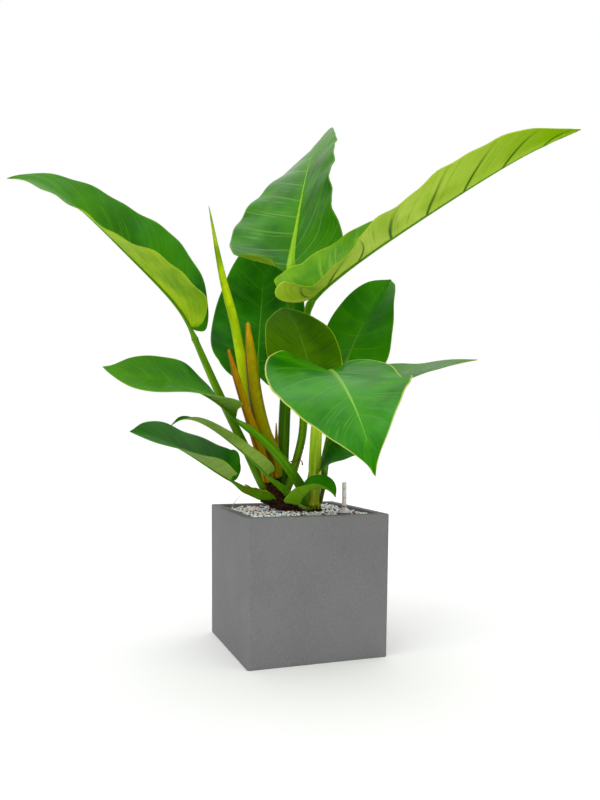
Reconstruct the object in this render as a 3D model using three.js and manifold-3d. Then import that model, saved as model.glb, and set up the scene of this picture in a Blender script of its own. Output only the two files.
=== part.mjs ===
// Potted imperial green philodendron: two rooted plants in a square planter with mineral gravel.
// Millimetres, +Z up. The origin is the centre of the planter's underside and its sides lie along X and Y.

import * as THREE from "three";
import { mergeVertices } from "three/addons/utils/BufferGeometryUtils.js";
import Module from "manifold-3d";

const wasm = await Module();
wasm.setup();

// Driving dimensions

const FIT_GAP = 0.3; // between pieces that touch
const PLANTER = { side: 250, baseSide: 248, height: 245, wall: 15, floor: 15, corner: 5, edge: 2 };
const GRAVEL = { top: 240.5, grain: 8.9, relief: 1.6 };
const ROOT_BALL = { radius: 66, x: -4, y: 10, bottom: 70, shoulderZ: 205, sides: 30, rings: 6 };
const SOIL_TOP = {
  x: 15, y: 6, edgeZ: 242, relief: 2.2,
  leftFoot: { x: 7, y: 11, reach: 25 },
  rightFoot: { x: 28, y: -2, reach: 21 },
  mound: { x: 2, y: 14, height: 9, spread: 22 },
};

// Crowns: the axis that the stalks' flat sides face, and the centre and radius at heights from the
// hidden foot up. The left one leans out to the left over the gravel.
const CROWN_LEFT = {
  x: -33, y: 27,
  levels: [
    { z: 205, x: 4, y: 13, radius: 9 },
    { z: 238, x: 4, y: 13, radius: 11 },
    { z: 246, x: -7, y: 16, radius: 17 },
    { z: 254, x: -20, y: 21, radius: 21 },
    { z: 262, x: -33, y: 26, radius: 25 },
    { z: 271, x: -33, y: 26, radius: 21 },
    { z: 281, x: -34, y: 27, radius: 18 },
    { z: 292, x: -33, y: 25, radius: 14 },
    { z: 298, x: -32, y: 23, radius: 8 },
  ],
};
const CROWN_RIGHT = {
  x: 28, y: -2, radius: 15,
  levels: [
    { z: 200, x: 28, y: -2, radius: 14 },
    { z: 222, x: 28, y: -2, radius: 15 },
    { z: 240, x: 28, y: -2, radius: 15 },
    { z: 255, x: 28, y: -2, radius: 15 },
    { z: 264, x: 28, y: -2, radius: 13 },
    { z: 268, x: 28, y: -2, radius: 8 },
  ],
};
const GAUGE = {
  x: 57, y: -88, shaft: 6.5, bore: 4.7, tube: 3.8, tubeBore: 2.8, top: 297, collarTop: 254, skirt: 12,
};
const FLOAT = { stem: 1.1, tip: 2, body: 3.9, bodyLength: 46, top: 257 };
const BLADE = { thickness: 1.2, rows: 16, rib: 4.2, ribWidth: 0.07 };
const COLUMNS = [0, BLADE.ribWidth, 0.38, 0.7, 1]; // share of the way from midrib to margin
const STALK_SIDES = 8;
const STALK_STEPS = 9;

const COLOUR = {
  planter: 0x757577,
  gravel: 0xd8cfc6,
  soil: 0x2e1d12,
  leaf: 0x3f8f22,
  youngLeaf: 0x9fc23a,
  budSheath: 0xc08a2a,
  crown: 0x4a3620,
  baseSheath: 0x9fae2c,
  gaugeClear: 0xd5d5d8,
  gaugeCollar: 0x8d8494,
  gaugeFloat: 0xb5331c,
};

// Unit outline of one half of a blade, from the stalk junction round the lobe to the tip: share of
// the path, of the half width, of the length, of the lobe's depth and of the widest place, what a
// wedge-shaped base takes from the width and adds to the length, and what a blunt tip adds to the width.
const HALF_OUTLINE = [
  { at: 0, across: 0, lobe: 0, along: 0 },
  { at: 0.045, across: 0.1, lobe: 0.5, along: 0, taken: 0.02, added: 0.03 },
  { at: 0.12, across: 0.34, lobe: 1, along: 0, taken: 0.1, added: 0.08 },
  { at: 0.21, across: 0.72, lobe: 0.62, along: 0, taken: 0.22, added: 0.13 },
  { at: 0.33, across: 0.96, lobe: 0, along: 0.06, taken: 0.14, added: 0.12 },
  { at: 0.45, across: 0.985, lobe: 0, along: 0, widest: 1 },
  { at: 0.61, across: 0.8, lobe: 0, along: 0.27, widest: 1, blunt: 0.01 },
  { at: 0.8, across: 0.47, lobe: 0, along: 0.8, blunt: 0.06 },
  { at: 0.94, across: 0.14, lobe: 0, along: 0.945, blunt: 0.12 },
  { at: 1, across: 0, lobe: 0, along: 1 },
];
const TIP_BLUNT = -0.2; // how blunt a tip is, unless its leaf says so; below 0 it is drawn out

// Leaves. Angles in degrees, one value for each of three or four even stations from base to tip:
// heading is counted from +X towards +Y, pitch is up from level, roll turns the face to its right,
// fold lifts each half off the midrib's own plane. lift raises the basal lobes, [left, right],
// lobe is their depth as a share of the length, wedge says how wedge-shaped the base is, and wave
// ripples the margins.
const LEAVES = {
  leaf_tall_centre: {
    junction: [6, 49, 677],
    length: 393, halfWidth: 121, widest: 0.32,
    heading: [68, 52, 50, 35], pitch: [50, 66, 58, 40], roll: [3, -8, -14],
    foldLeft: [17, 10, -6, -24], foldRight: [32, 40, 26, 14],
    lift: [56, 40], lobe: [0.09, 0.09], blunt: 0.9, wave: { height: 4, count: 5, left: 0, right: 0.3 },
    stalk: [[6, 52, 632], [3, 54, 534], [-5, 47, 414], [-10, 39, 350], [-16, 32, 282], [-24, 31, 264]],
    stalkRadius: [9, 12],
    crown: CROWN_LEFT,
  },
  leaf_upper_left: {
    junction: [-176, 72, 569],
    length: 385, halfWidth: 96, widest: 0.3,
    heading: [192, 189, 185, 174], pitch: [61, 40, 37, -13], roll: [-33, -38, -36],
    foldLeft: [49, 37, 18, 9], foldRight: [45, 41, 26, 12],
    lift: [60, 10], lobe: [0.05, 0.1], wedge: [0.5, 0.7],
    wave: { height: 4, count: 3, left: 0.2, right: 0.1 },
    stalk: [[-160, 67, 528], [-126, 55, 448], [-105, 49, 403], [-79, 41, 348], [-52, 33, 288], [-40, 31, 268]],
    stalkRadius: [7.5, 10],
    crown: CROWN_LEFT,
  },
  leaf_upper_right: {
    junction: [16, -73, 618],
    length: 456, halfWidth: 106, widest: 0.26,
    heading: [-39, -41, -40, -35], pitch: [39, 29, 27, 16], roll: [9, 0, -14],
    foldLeft: [52, 36, 30, 28], foldRight: [4, 3, 16, 35],
    lift: [40, 55], lobe: [0.17, 0.25], wedge: [0.25, 1.15],
    wave: { height: 4, count: 4, left: 0.3, right: 0 },
    stalk: [[4, -52, 597], [20, 18, 495], [23, 25, 387], [11, 22, 336], [-8, 18, 283], [-19, 23, 262]],
    stalkRadius: [7, 9],
    crown: CROWN_LEFT,
  },
  leaf_back: {
    junction: [-38, 110, 495],
    length: 350, halfWidth: 94, widest: 0.33,
    heading: [73, 62, 61, 62], pitch: [63, 72, 71, 65], roll: [8, -2, -4],
    foldLeft: [23, 7, 4, 2], foldRight: [19, 14, 8, 4],
    lift: [14, 0], lobe: [0.1, 0.1], wave: { height: 2, count: 3, left: 0, right: 0.5 },
    stalk: [[-39, 100, 455], [-39, 85, 405], [-36, 62, 331], [-32, 46, 282], [-31, 38, 266]],
    stalkRadius: [6, 9],
    crown: CROWN_LEFT,
  },
  leaf_left_low: {
    junction: [-111, 20, 295],
    length: 228, halfWidth: 82, widest: 0.34,
    heading: [198, 203, 208, 209], pitch: [24, 29, 20, 6], roll: [-33, -27, -32],
    foldLeft: [28, 26, 14, -3], foldRight: [21, 13, 12, 13],
    lift: [80, 80], lobe: [0, 0.09], wedge: [1, 0], wave: { height: 2, count: 3, left: 0, right: 0.5 },
    stalk: [[-88, 22, 279], [-61, 25, 267], [-38, 26, 261]],
    stalkRadius: [5, 8],
    crown: CROWN_LEFT,
  },
  leaf_front: {
    junction: [3, -151, 477],
    length: 350, halfWidth: 105, widest: 0.32,
    heading: [251, 256, 262, 261], pitch: [-4, -16, -34, -57], roll: [-1, 11, 23],
    foldLeft: [14, -7, 16, 34], foldRight: [22, 6, 5, 15],
    lift: [26, 5], lobe: [0.09, 0.09], wedge: [0.25, 0.2], blunt: -0.5,
    wave: { height: 2, count: 3, left: 0, right: 0.5 },
    stalk: [[-4, -134, 456], [3, -96, 401], [13, -62, 334], [22, -38, 290], [28, -16, 256]],
    stalkRadius: [7, 12],
    crown: CROWN_RIGHT,
  },
  leaf_left_middle: {
    junction: [-117, -21, 404],
    length: 261, halfWidth: 72, widest: 0.25,
    heading: [212, 205, 199, 198], pitch: [35, 19, 6, 18], roll: [-26, -35, -53],
    foldLeft: [19, 22, 12, -20], foldRight: [4, 13, 17, 17],
    lift: [80, 80], lobe: [0, 0.03], wedge: [1, 0], wave: { height: 2, count: 3, left: 0.5, right: 0 },
    stalk: [[-95, -38, 385], [-63, -58, 354], [-32, -62, 317], [2, -35, 279], [15, -13, 258]],
    stalkRadius: [6, 10],
    crown: CROWN_RIGHT,
  },
  leaf_right_upright: {
    junction: [104, 20, 509],
    length: 229, halfWidth: 82, widest: 0.26,
    heading: [29, 26, 27, 33], pitch: [58, 55, 49, 41], roll: [2, 6, 14],
    foldLeft: [-10, 6, 28, 48], foldRight: [-13, 5, 21, 32],
    lift: [0, 0], lobe: [0.06, 0.06], wave: { height: 1.5, count: 3, left: 0, right: 0.5 },
    stalk: [[90, 24, 442], [74, 22, 374], [55, 18, 297], [40, 10, 254]],
    stalkRadius: [5, 8],
    crown: CROWN_RIGHT,
  },
  leaf_right_low: {
    junction: [63, -101, 483],
    length: 207, halfWidth: 58, widest: 0.28,
    heading: [-28, -26, -26, -25], pitch: [-6, 2, 11, 10], roll: [15, 9, 6],
    foldLeft: [15, 12, 15, 26], foldRight: [-10, -7, 1, 10],
    lift: [0, 0], lobe: [0.06, 0.06], wave: { height: 1.5, count: 3, left: 0, right: 0.5 },
    stalk: [[57, -90, 455], [56, -73, 422], [55, -42, 382], [51, -25, 346], [48, -16, 297], [42, -7, 256]],
    stalkRadius: [4.5, 7],
    crown: CROWN_RIGHT,
  },
  leaf_middle: {
    junction: [32, -26, 435],
    length: 232, halfWidth: 79, widest: 0.37,
    heading: [225, 229, 233, 226], pitch: [58, 50, 29, 5], roll: [-22, -12, -4],
    foldLeft: [-24, -15, 0, 13], foldRight: [-14, -7, 5, 17],
    lift: [0, 0], lobe: [0.08, 0.08], wave: { height: 1.5, count: 3, left: 0, right: 0.5 },
    stalk: [[42, 0, 369], [37, 18, 296], [31, 16, 256]],
    stalkRadius: [5, 8],
    crown: CROWN_RIGHT,
  },
  leaf_left_slender: {
    junction: [-63, -32, 307],
    length: 243, halfWidth: 22, widest: 0.2,
    heading: [192, 200, 215, 226], pitch: [44, 34, 17, -31], roll: [-7, -23, -26],
    foldLeft: [62, 52, 46, 40], foldRight: [20, 8, 4, 4],
    lift: [60, 60], lobe: [0, 0], wave: { height: 1, count: 3, left: 0, right: 0.5 },
    stalk: [[-39, -33, 287], [-17, -25, 271], [0, -15, 260], [16, -4, 252]],
    stalkRadius: [5, 9],
    crown: CROWN_RIGHT,
  },
  leaf_small_right: {
    junction: [23, -87, 325],
    length: 122, halfWidth: 47, widest: 0.31,
    heading: [4, 8, 11, 10], pitch: [34, 32, 26, 21], roll: [-10, 9, 22],
    foldLeft: [-9, 6, 19, 27], foldRight: [5, 1, 4, 6],
    lift: [0, 0], lobe: [0.12, 0.12], wave: { height: 1, count: 3, left: 0, right: 0.5 },
    stalk: [[25, -80, 310], [34, -50, 284], [41, -20, 258]],
    stalkRadius: [2.5, 4],
    crown: CROWN_RIGHT,
  },
  leaf_small_front: {
    junction: [-27, -92, 262],
    length: 79, halfWidth: 44, widest: 0.29,
    heading: [-30, -27, -27, -23], pitch: [70, 36, -10, -62], roll: [6, 16, 24],
    foldLeft: [2, 10, 24, 37], foldRight: [39, 32, 32, 33],
    lift: [40, 40], lobe: [0.03, 0.03], wave: { height: 1, count: 3, left: 0, right: 0.5 },
    stalk: [[-18, -78, 254], [-4, -54, 248], [10, -29, 244], [22, -14, 241]],
    stalkRadius: [3.5, 5],
    crown: CROWN_RIGHT,
  },
};

// Shoots that are still rolled or closed: route of the axis from tip to base, radius along it,
// and the share of the radius that the section is thick.
const SHOOTS = {
  bud_sheath_spike: {
    route: [[-27, 30, 399], [-26, 30, 357], [-26, 31, 310], [-28, 30, 280]],
    radius: [0.8, 3.8, 4.8, 4.8], flat: 0.8, colour: COLOUR.budSheath,
  },
  leaf_rolled: {
    route: [
      [-145, 63, 784], [-121, 59, 661], [-98, 56, 574], [-81, 55, 484], [-60, 50, 386], [-45, 42, 300],
      [-42, 35, 274],
    ],
    radius: [0.8, 5.5, 9.5, 10.5, 10.5, 9, 8], flat: 0.9, colour: COLOUR.youngLeaf,
  },
  bud_sheath_tall: {
    route: [[-85, 18, 575], [-77, 20, 502], [-68, 20, 438], [-55, 16, 377], [-39, 12, 330], [-36, 14, 299]],
    radius: [4, 12.5, 15, 16, 17, 13], flat: 0.75, colour: COLOUR.budSheath,
  },
  bud_sheath_short: {
    route: [[-121, 14, 526], [-105, 13, 472], [-89, 9, 420], [-72, 4, 368], [-58, 6, 324], [-48, 15, 292]],
    radius: [3.5, 9, 9.5, 10, 10, 8], flat: 0.6, colour: COLOUR.budSheath,
  },
};

// Small helpers

const radians = THREE.MathUtils.degToRad;
const toVector = ([x, y, z]) => new THREE.Vector3(x, y, z);

/** Repeatable random number from 0 to 1 for a whole-number pair. */
function scatter(i, j) {
  const s = Math.sin(i * 127.1 + j * 311.7) * 43758.5453;
  return s - Math.floor(s);
}

/** Polynomial through values spread evenly over 0 to 1. */
function keyed(values, t) {
  const last = values.length - 1;
  let sum = 0;
  values.forEach((value, i) => {
    let term = value;
    values.forEach((_, j) => {
      if (j !== i) term *= (t * last - j) / (i - j);
    });
    sum += term;
  });
  return sum;
}

/** Straight-line reading of values spread evenly over 0 to 1. */
function evenly(values, t) {
  const place = THREE.MathUtils.clamp(t, 0, 1) * (values.length - 1);
  const i = Math.min(Math.floor(place), values.length - 2);
  return THREE.MathUtils.lerp(values[i], values[i + 1], place - i);
}

/** A closed solid from points and triangles that face out. */
function solidOf(points, triangles) {
  const vertProperties = new Float32Array(points.flatMap((p) => [p.x, p.y, p.z]));
  const triVerts = new Uint32Array(triangles.flat());
  return new wasm.Manifold(new wasm.Mesh({ numProp: 3, vertProperties, triVerts }));
}

/** A closed solid from a three.js geometry. */
function solidFromGeometry(geometry) {
  geometry.deleteAttribute("normal");
  geometry.deleteAttribute("uv");
  const merged = mergeVertices(geometry, 1e-4);
  const vertProperties = merged.attributes.position.array;
  const triVerts = new Uint32Array(merged.index.array);
  return new wasm.Manifold(new wasm.Mesh({ numProp: 3, vertProperties, triVerts }));
}

/** Turned solid about a vertical axis at x, y; the profile is [radius, z] from bottom to top. */
function turned(profile, sides, x, y) {
  const outline = profile.map(([r, z]) => new THREE.Vector2(r, z));
  const geometry = new THREE.LatheGeometry(outline, sides);
  geometry.rotateX(Math.PI / 2);
  geometry.translate(x, y, 0);
  return solidFromGeometry(geometry);
}

/** Solid between rings of equally many points; each ring runs the same way round. */
function loft(rings) {
  const sides = rings[0].length;
  const points = rings.flat();
  const triangles = [];
  for (let i = 0; i + 1 < rings.length; i++) {
    for (let k = 0; k < sides; k++) {
      const a = i * sides + k;
      const b = i * sides + ((k + 1) % sides);
      triangles.push([a, b, b + sides], [a, b + sides, a + sides]);
    }
  }
  const first = points.push(ringCentre(rings[0])) - 1;
  const last = points.push(ringCentre(rings[rings.length - 1])) - 1;
  const end = (rings.length - 1) * sides;
  for (let k = 0; k < sides; k++) {
    const next = (k + 1) % sides;
    triangles.push([first, next, k], [last, end + k, end + next]);
  }
  const made = solidOf(points, triangles);
  if (made.volume() > 0) return made;
  return solidOf(points, triangles.map(([a, b, c]) => [a, c, b]));
}

function ringCentre(ring) {
  const centre = new THREE.Vector3();
  ring.forEach((p) => centre.add(p));
  return centre.divideScalar(ring.length);
}

/** Tapered stalk along a smooth route, flattened on the side that faces the crown. */
function stalk(route, radiusAt, flat, crown, sides = STALK_SIDES, steps = STALK_STEPS) {
  const curve = new THREE.CatmullRomCurve3(route, false, "centripetal");
  const axis = new THREE.Vector3(crown.x, crown.y, 0);
  const rings = [];
  for (let i = 0; i <= steps; i++) {
    const t = i / steps;
    const centre = curve.getPointAt(t);
    const along = curve.getTangentAt(t);
    const inward = axis.clone().sub(centre).setZ(0);
    if (inward.length() < 12) inward.set(0.3, 1, 0);
    inward.addScaledVector(along, -inward.dot(along)).normalize();
    const aside = new THREE.Vector3().crossVectors(along, inward);
    const radius = radiusAt(t);
    const ring = [];
    for (let k = 0; k < sides; k++) {
      const turn = (2 * Math.PI * k) / sides;
      ring.push(
        centre
          .clone()
          .addScaledVector(inward, Math.cos(turn) * radius * flat)
          .addScaledVector(aside, Math.sin(turn) * radius),
      );
    }
    rings.push(ring);
  }
  return loft(rings);
}

// Leaf blades

/** Point of a half outline: [share of half width, share of length], by a smooth curve through the marks. */
function outlineAt(t, leaf, half) {
  const lobe = leaf.lobe[half];
  const wedge = leaf.wedge ? leaf.wedge[half] : 0;
  const mark = HALF_OUTLINE.map((m) => [
    m.at,
    m.across - wedge * (m.taken ?? 0) + (leaf.blunt ?? TIP_BLUNT) * (m.blunt ?? 0),
    m.along - lobe * m.lobe + leaf.widest * (m.widest ?? 0) + wedge * (m.added ?? 0),
  ]);
  const last = mark.length - 1;
  let i = 0;
  while (i < last - 1 && t > mark[i + 1][0]) i++;
  const slope = (k, axis) => {
    const before = mark[Math.max(k - 1, 0)];
    const after = mark[Math.min(k + 1, last)];
    return (after[axis] - before[axis]) / (after[0] - before[0]);
  };
  const span = mark[i + 1][0] - mark[i][0];
  const s = (t - mark[i][0]) / span;
  return [1, 2].map(
    (axis) =>
      mark[i][axis] * (1 + 2 * s) * (1 - s) ** 2 +
      mark[i + 1][axis] * s * s * (3 - 2 * s) +
      span * slope(i, axis) * s * (1 - s) ** 2 -
      span * slope(i + 1, axis) * s * s * (1 - s),
  );
}

/** Direction, face and right-hand side of the midrib at share t of its length. */
function bladeFrame(leaf, t) {
  const heading = radians(keyed(leaf.heading, t));
  const pitch = radians(keyed(leaf.pitch, t));
  const roll = radians(keyed(leaf.roll, t));
  const along = new THREE.Vector3(
    Math.cos(pitch) * Math.cos(heading),
    Math.cos(pitch) * Math.sin(heading),
    Math.sin(pitch),
  );
  const up = new THREE.Vector3(
    -Math.sin(pitch) * Math.cos(heading),
    -Math.sin(pitch) * Math.sin(heading),
    Math.cos(pitch),
  );
  const side = new THREE.Vector3().crossVectors(along, up);
  const face = up.clone().multiplyScalar(Math.cos(roll)).addScaledVector(side, Math.sin(roll));
  const right = side.clone().multiplyScalar(Math.cos(roll)).addScaledVector(up, -Math.sin(roll));
  return { along, face, right };
}

/** Midrib positions at even steps, summed from its directions. */
function midribPoints(leaf, steps = 40) {
  const points = [toVector(leaf.junction)];
  for (let i = 1; i <= steps; i++) {
    const before = bladeFrame(leaf, (i - 1) / steps).along;
    const after = bladeFrame(leaf, i / steps).along;
    points.push(points[i - 1].clone().addScaledVector(before.add(after), leaf.length / steps / 2));
  }
  return points;
}

/** Point of the blade's middle surface: across in mm, right positive, and along as a share of the length. */
function bladePoint(leaf, midrib, across, along) {
  const t = THREE.MathUtils.clamp(along, 0, 1);
  const place = t * (midrib.length - 1);
  const i = Math.min(Math.floor(place), midrib.length - 2);
  const point = midrib[i].clone().lerp(midrib[i + 1], place - i);
  const frame = bladeFrame(leaf, t);
  const left = across < 0;
  const share = Math.abs(across) / leaf.halfWidth;
  const fold = radians(keyed(left ? leaf.foldLeft : leaf.foldRight, t));
  const phase = left ? leaf.wave.left : leaf.wave.right;
  const ripple = leaf.wave.height * Math.sin(2 * Math.PI * (leaf.wave.count * along + phase)) * share ** 2;
  const outward = Math.abs(across) * Math.cos(fold) - ripple * Math.sin(fold);
  const rise = Math.abs(across) * Math.sin(fold) + ripple * Math.cos(fold);
  const behind = Math.max(-along, 0) * leaf.length;
  const lift = radians(leaf.lift[left ? 0 : 1]) * Math.min(share / 0.3, 1);
  return point
    .addScaledVector(frame.along, -behind * Math.cos(lift))
    .addScaledVector(frame.face, rise + behind * Math.sin(lift))
    .addScaledVector(frame.right, left ? -outward : outward);
}

/** Middle surface of a blade: points, triangles facing the upper side, and each point's rib depth. */
function bladeSurface(leaf) {
  const midrib = midribPoints(leaf);
  const { rows } = BLADE;
  const ribAt = (along) => BLADE.rib * Math.min(leaf.length / 300, 1) * (1 - 0.8 * along);
  const footAt = (t) => Math.max(0, (t - 0.2) / 0.8);
  const points = [bladePoint(leaf, midrib, 0, 0), bladePoint(leaf, midrib, 0, 1)];
  const ribs = [ribAt(0), ribAt(1)];
  const feet = [0];
  for (let i = 1; i < rows; i++) {
    const foot = footAt(i / rows);
    feet.push(foot > 0 ? points.push(bladePoint(leaf, midrib, 0, foot)) - 1 : 0);
    if (foot > 0) ribs.push(ribAt(foot));
  }
  feet.push(1);
  const triangles = [];
  for (const side of [-1, 1]) {
    const grid = [null];
    for (let i = 1; i < rows; i++) {
      const t = i / rows;
      const [wide, end] = outlineAt(t, leaf, side < 0 ? 0 : 1);
      const row = [feet[i]];
      for (const share of COLUMNS.slice(1)) {
        const across = side * leaf.halfWidth * wide * share;
        const along = THREE.MathUtils.lerp(footAt(t), end, share);
        row.push(points.push(bladePoint(leaf, midrib, across, along)) - 1);
        ribs.push(0);
      }
      grid.push(row);
    }
    grid.push(COLUMNS.map(() => 1));
    for (let i = 1; i < rows; i++) {
      for (let j = 0; j + 1 < COLUMNS.length; j++) {
        const corners = [grid[i][j], grid[i][j + 1], grid[i + 1][j + 1], grid[i + 1][j]];
        const [a, b, c, d] = side > 0 ? corners : [corners[0], corners[3], corners[2], corners[1]];
        const halves = [[a, b, c], [a, c, d]];
        halves.filter((h) => new Set(h).size === 3).forEach((h) => triangles.push(h));
      }
    }
  }
  return { points, triangles, ribs };
}

/** Closed blade: both faces are split into the same triangles, with a wall round the margin. */
function bladeSolid(leaf, thickness = BLADE.thickness) {
  const { points, triangles, ribs } = bladeSurface(leaf);
  const normals = points.map(() => new THREE.Vector3());
  for (const [a, b, c] of triangles) {
    const normal = points[b].clone().sub(points[a]).cross(points[c].clone().sub(points[a]));
    [a, b, c].forEach((k) => normals[k].add(normal));
  }
  normals.forEach((n) => n.normalize());
  const upper = points.map((p, k) => p.clone().addScaledVector(normals[k], thickness / 2));
  const lower = points.map((p, k) => p.clone().addScaledVector(normals[k], -thickness / 2 - ribs[k]));
  const shift = points.length;
  const faces = [...triangles, ...triangles.map(([a, b, c]) => [a + shift, c + shift, b + shift])];
  const edges = new Set(triangles.flatMap(([a, b, c]) => [`${a} ${b}`, `${b} ${c}`, `${c} ${a}`]));
  for (const edge of edges) {
    const [p, q] = edge.split(" ").map(Number);
    if (!edges.has(`${q} ${p}`)) faces.push([q, p, p + shift], [q, p + shift, q + shift]);
  }
  return solidOf([...upper, ...lower], faces);
}

/** Stalk of a leaf: it ends under the blade, just past the junction. */
function leafStalk(leaf, extra = 0) {
  const start = bladeFrame(leaf, 0);
  const tip = toVector(leaf.junction)
    .addScaledVector(start.along, 7)
    .addScaledVector(start.face, -2.5);
  const bend = toVector(leaf.junction).addScaledVector(start.face, -2.5);
  const route = [tip, bend, ...leaf.stalk.map(toVector)];
  const [thin, thick] = leaf.stalkRadius;
  const radiusAt = (t) => extra + THREE.MathUtils.lerp(thin * 0.75, thick, Math.min(1, t * 1.1) ** 0.8);
  return stalk(route, radiusAt, 0.82, leaf.crown);
}

// Assembly

const plant = new THREE.Group();
const taken = []; // every finished piece with the fit gap added, which later pieces keep out of

/** The largest body left of a solid once everything already placed is cut from it. */
function clearOfOthers(solid) {
  const cut = taken.reduce((left, other) => left.subtract(other), solid);
  const bodies = cut.decompose();
  return bodies.reduce((best, body) => (body.volume() > best.volume() ? body : best));
}

function place(name, solid, colour, finish = {}) {
  const { vertProperties, triVerts, numProp } = solid.getMesh();
  const position = new Float32Array((vertProperties.length / numProp) * 3);
  for (let i = 0; i * numProp < vertProperties.length; i++) {
    position.set(vertProperties.subarray(i * numProp, i * numProp + 3), i * 3);
  }
  const geometry = new THREE.BufferGeometry();
  geometry.setAttribute("position", new THREE.BufferAttribute(position, 3));
  geometry.setIndex(new THREE.BufferAttribute(triVerts, 1));
  geometry.computeVertexNormals();
  const material = new THREE.MeshStandardMaterial({ color: colour, roughness: 0.5, metalness: 0, ...finish });
  const mesh = new THREE.Mesh(geometry, material);
  mesh.name = name;
  plant.add(mesh);
}

// Planter

/** Ring of a square with rounded corners at height z. */
function squareRing(side, corner, z, steps = 3) {
  const ring = [];
  const centre = side / 2 - corner;
  for (let q = 0; q < 4; q++) {
    for (let k = 0; k <= steps; k++) {
      const turn = (Math.PI / 2) * (q + k / steps);
      const x = centre * Math.sign(Math.cos(Math.PI / 4 + (q * Math.PI) / 2)) + corner * Math.cos(turn);
      const y = centre * Math.sign(Math.sin(Math.PI / 4 + (q * Math.PI) / 2)) + corner * Math.sin(turn);
      ring.push(new THREE.Vector3(x, y, z));
    }
  }
  return ring;
}

/** Outside of the planter, with softened edges. */
function planterBlock() {
  const { side, baseSide, height, corner, edge } = PLANTER;
  return loft([
    squareRing(baseSide - 2 * edge, corner - edge, 0),
    squareRing(baseSide, corner, edge),
    squareRing(side, corner, height - edge),
    squareRing(side - 0.6 * edge, corner, height - 0.3 * edge),
    squareRing(side - 2 * edge, corner, height),
  ]);
}

const innerSide = PLANTER.side - 2 * PLANTER.wall;
const innerBase = innerSide - 6;

/** Hollow of the planter up to height z, shrunk by a gap. */
function planterHollow(z, gap = 0) {
  const rise = (z - PLANTER.floor) / (PLANTER.height - PLANTER.floor);
  const topSide = THREE.MathUtils.lerp(innerBase, innerSide, rise);
  return loft([
    squareRing(innerBase - 2 * gap, 4, PLANTER.floor + gap),
    squareRing(topSide - 2 * gap, 4, z),
  ]);
}

const planter = planterBlock().subtract(planterHollow(PLANTER.height + 5));
place("planter", planter, COLOUR.planter, { roughness: 0.9 });

// Crowns

/** Short stem with the scars of dropped leaves: every other ring is a little wider. */
function crownSolid(crown, grow = 0, raised = 0) {
  const sides = 16;
  const last = crown.levels.length - 1;
  const rings = crown.levels.map(({ z, x, y, radius }, i) => {
    const reach = radius + grow + (i % 2 ? 1.2 : 0);
    const height = z + raised + (i === last ? grow : 0) - (i === 0 ? grow : 0);
    return Array.from({ length: sides }, (_, k) => {
      const turn = (2 * Math.PI * k) / sides;
      return new THREE.Vector3(x + reach * Math.cos(turn), y + reach * Math.sin(turn), height);
    });
  });
  return loft(rings);
}

for (const [name, crown] of [["crown_left", CROWN_LEFT], ["crown_right", CROWN_RIGHT]]) {
  place(name, crownSolid(crown), COLOUR.crown, { roughness: 0.95 });
  taken.push(crownSolid(crown, FIT_GAP).add(crownSolid(crown, FIT_GAP, -FIT_GAP)));
}

// Leaves, each with its stalk

for (const [name, leaf] of Object.entries(LEAVES)) {
  const whole = bladeSolid(leaf).add(leafStalk(leaf));
  const clear = clearOfOthers(whole);
  place(name, clear, COLOUR.leaf, { roughness: 0.35 });
  taken.push(leafStalk(leaf, FIT_GAP * 1.2).add(clear));
}

// Rolled leaf and the sheaths round it

for (const [name, shoot] of Object.entries(SHOOTS)) {
  const route = shoot.route.map(toVector);
  const radiusAt = (extra) => (t) => extra + evenly(shoot.radius, t);
  const clear = clearOfOthers(stalk(route, radiusAt(0), shoot.flat, CROWN_LEFT, 10, 12));
  place(name, clear, shoot.colour);
  taken.push(stalk(route, radiusAt(FIT_GAP * 1.2), shoot.flat, CROWN_LEFT, 10, 12).add(clear));
}

// Old sheath round the foot of the right-hand plant, torn into tongues at its lower edge

function baseSheath(grow = 0) {
  const { x, y, radius } = CROWN_RIGHT;
  const inner = radius + 2.2 - grow;
  const outer = radius + 4.4 + grow;
  const steps = 18;
  const points = [];
  for (let i = 0; i <= steps; i++) {
    const turn = radians(150 + (240 * i) / steps);
    const tongue = i % 4 < 2 ? 0 : 7 * scatter(i, 3);
    const low = 243 + tongue - grow;
    const high = 268 - 10 * Math.abs(i / steps - 0.5) + 3 * scatter(i, 9) + grow;
    for (const [r, z] of [[inner, low], [outer, low], [outer, high], [inner, high]]) {
      points.push(new THREE.Vector3(x + r * Math.cos(turn), y + r * Math.sin(turn), z));
    }
  }
  const rings = [];
  for (let i = 0; i <= steps; i++) rings.push(points.slice(4 * i, 4 * i + 4));
  return loft(rings);
}

place("base_sheath", clearOfOthers(baseSheath()), COLOUR.baseSheath);
taken.push(baseSheath(FIT_GAP));

// Soil of the root ball: round below, and drawn in round both feet where it stands out of the gravel

/** Distance from the middle of the soil's top to its edge in a direction. */
function soilReach(turn) {
  const { leftFoot, rightFoot } = SOIL_TOP;
  const discs = 12;
  let reach = 0;
  for (let i = 0; i <= discs; i++) {
    const share = i / discs;
    const cx = THREE.MathUtils.lerp(leftFoot.x, rightFoot.x, share) - SOIL_TOP.x;
    const cy = THREE.MathUtils.lerp(leftFoot.y, rightFoot.y, share) - SOIL_TOP.y;
    const radius = THREE.MathUtils.lerp(leftFoot.reach, rightFoot.reach, share);
    const along = cx * Math.cos(turn) + cy * Math.sin(turn);
    const inside = radius ** 2 - cx ** 2 - cy ** 2 + along ** 2;
    if (inside > 0) reach = Math.max(reach, along + Math.sqrt(inside));
  }
  return reach * (1 + 0.05 * Math.sin(3 * turn + 1) + 0.03 * Math.sin(7 * turn));
}

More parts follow.
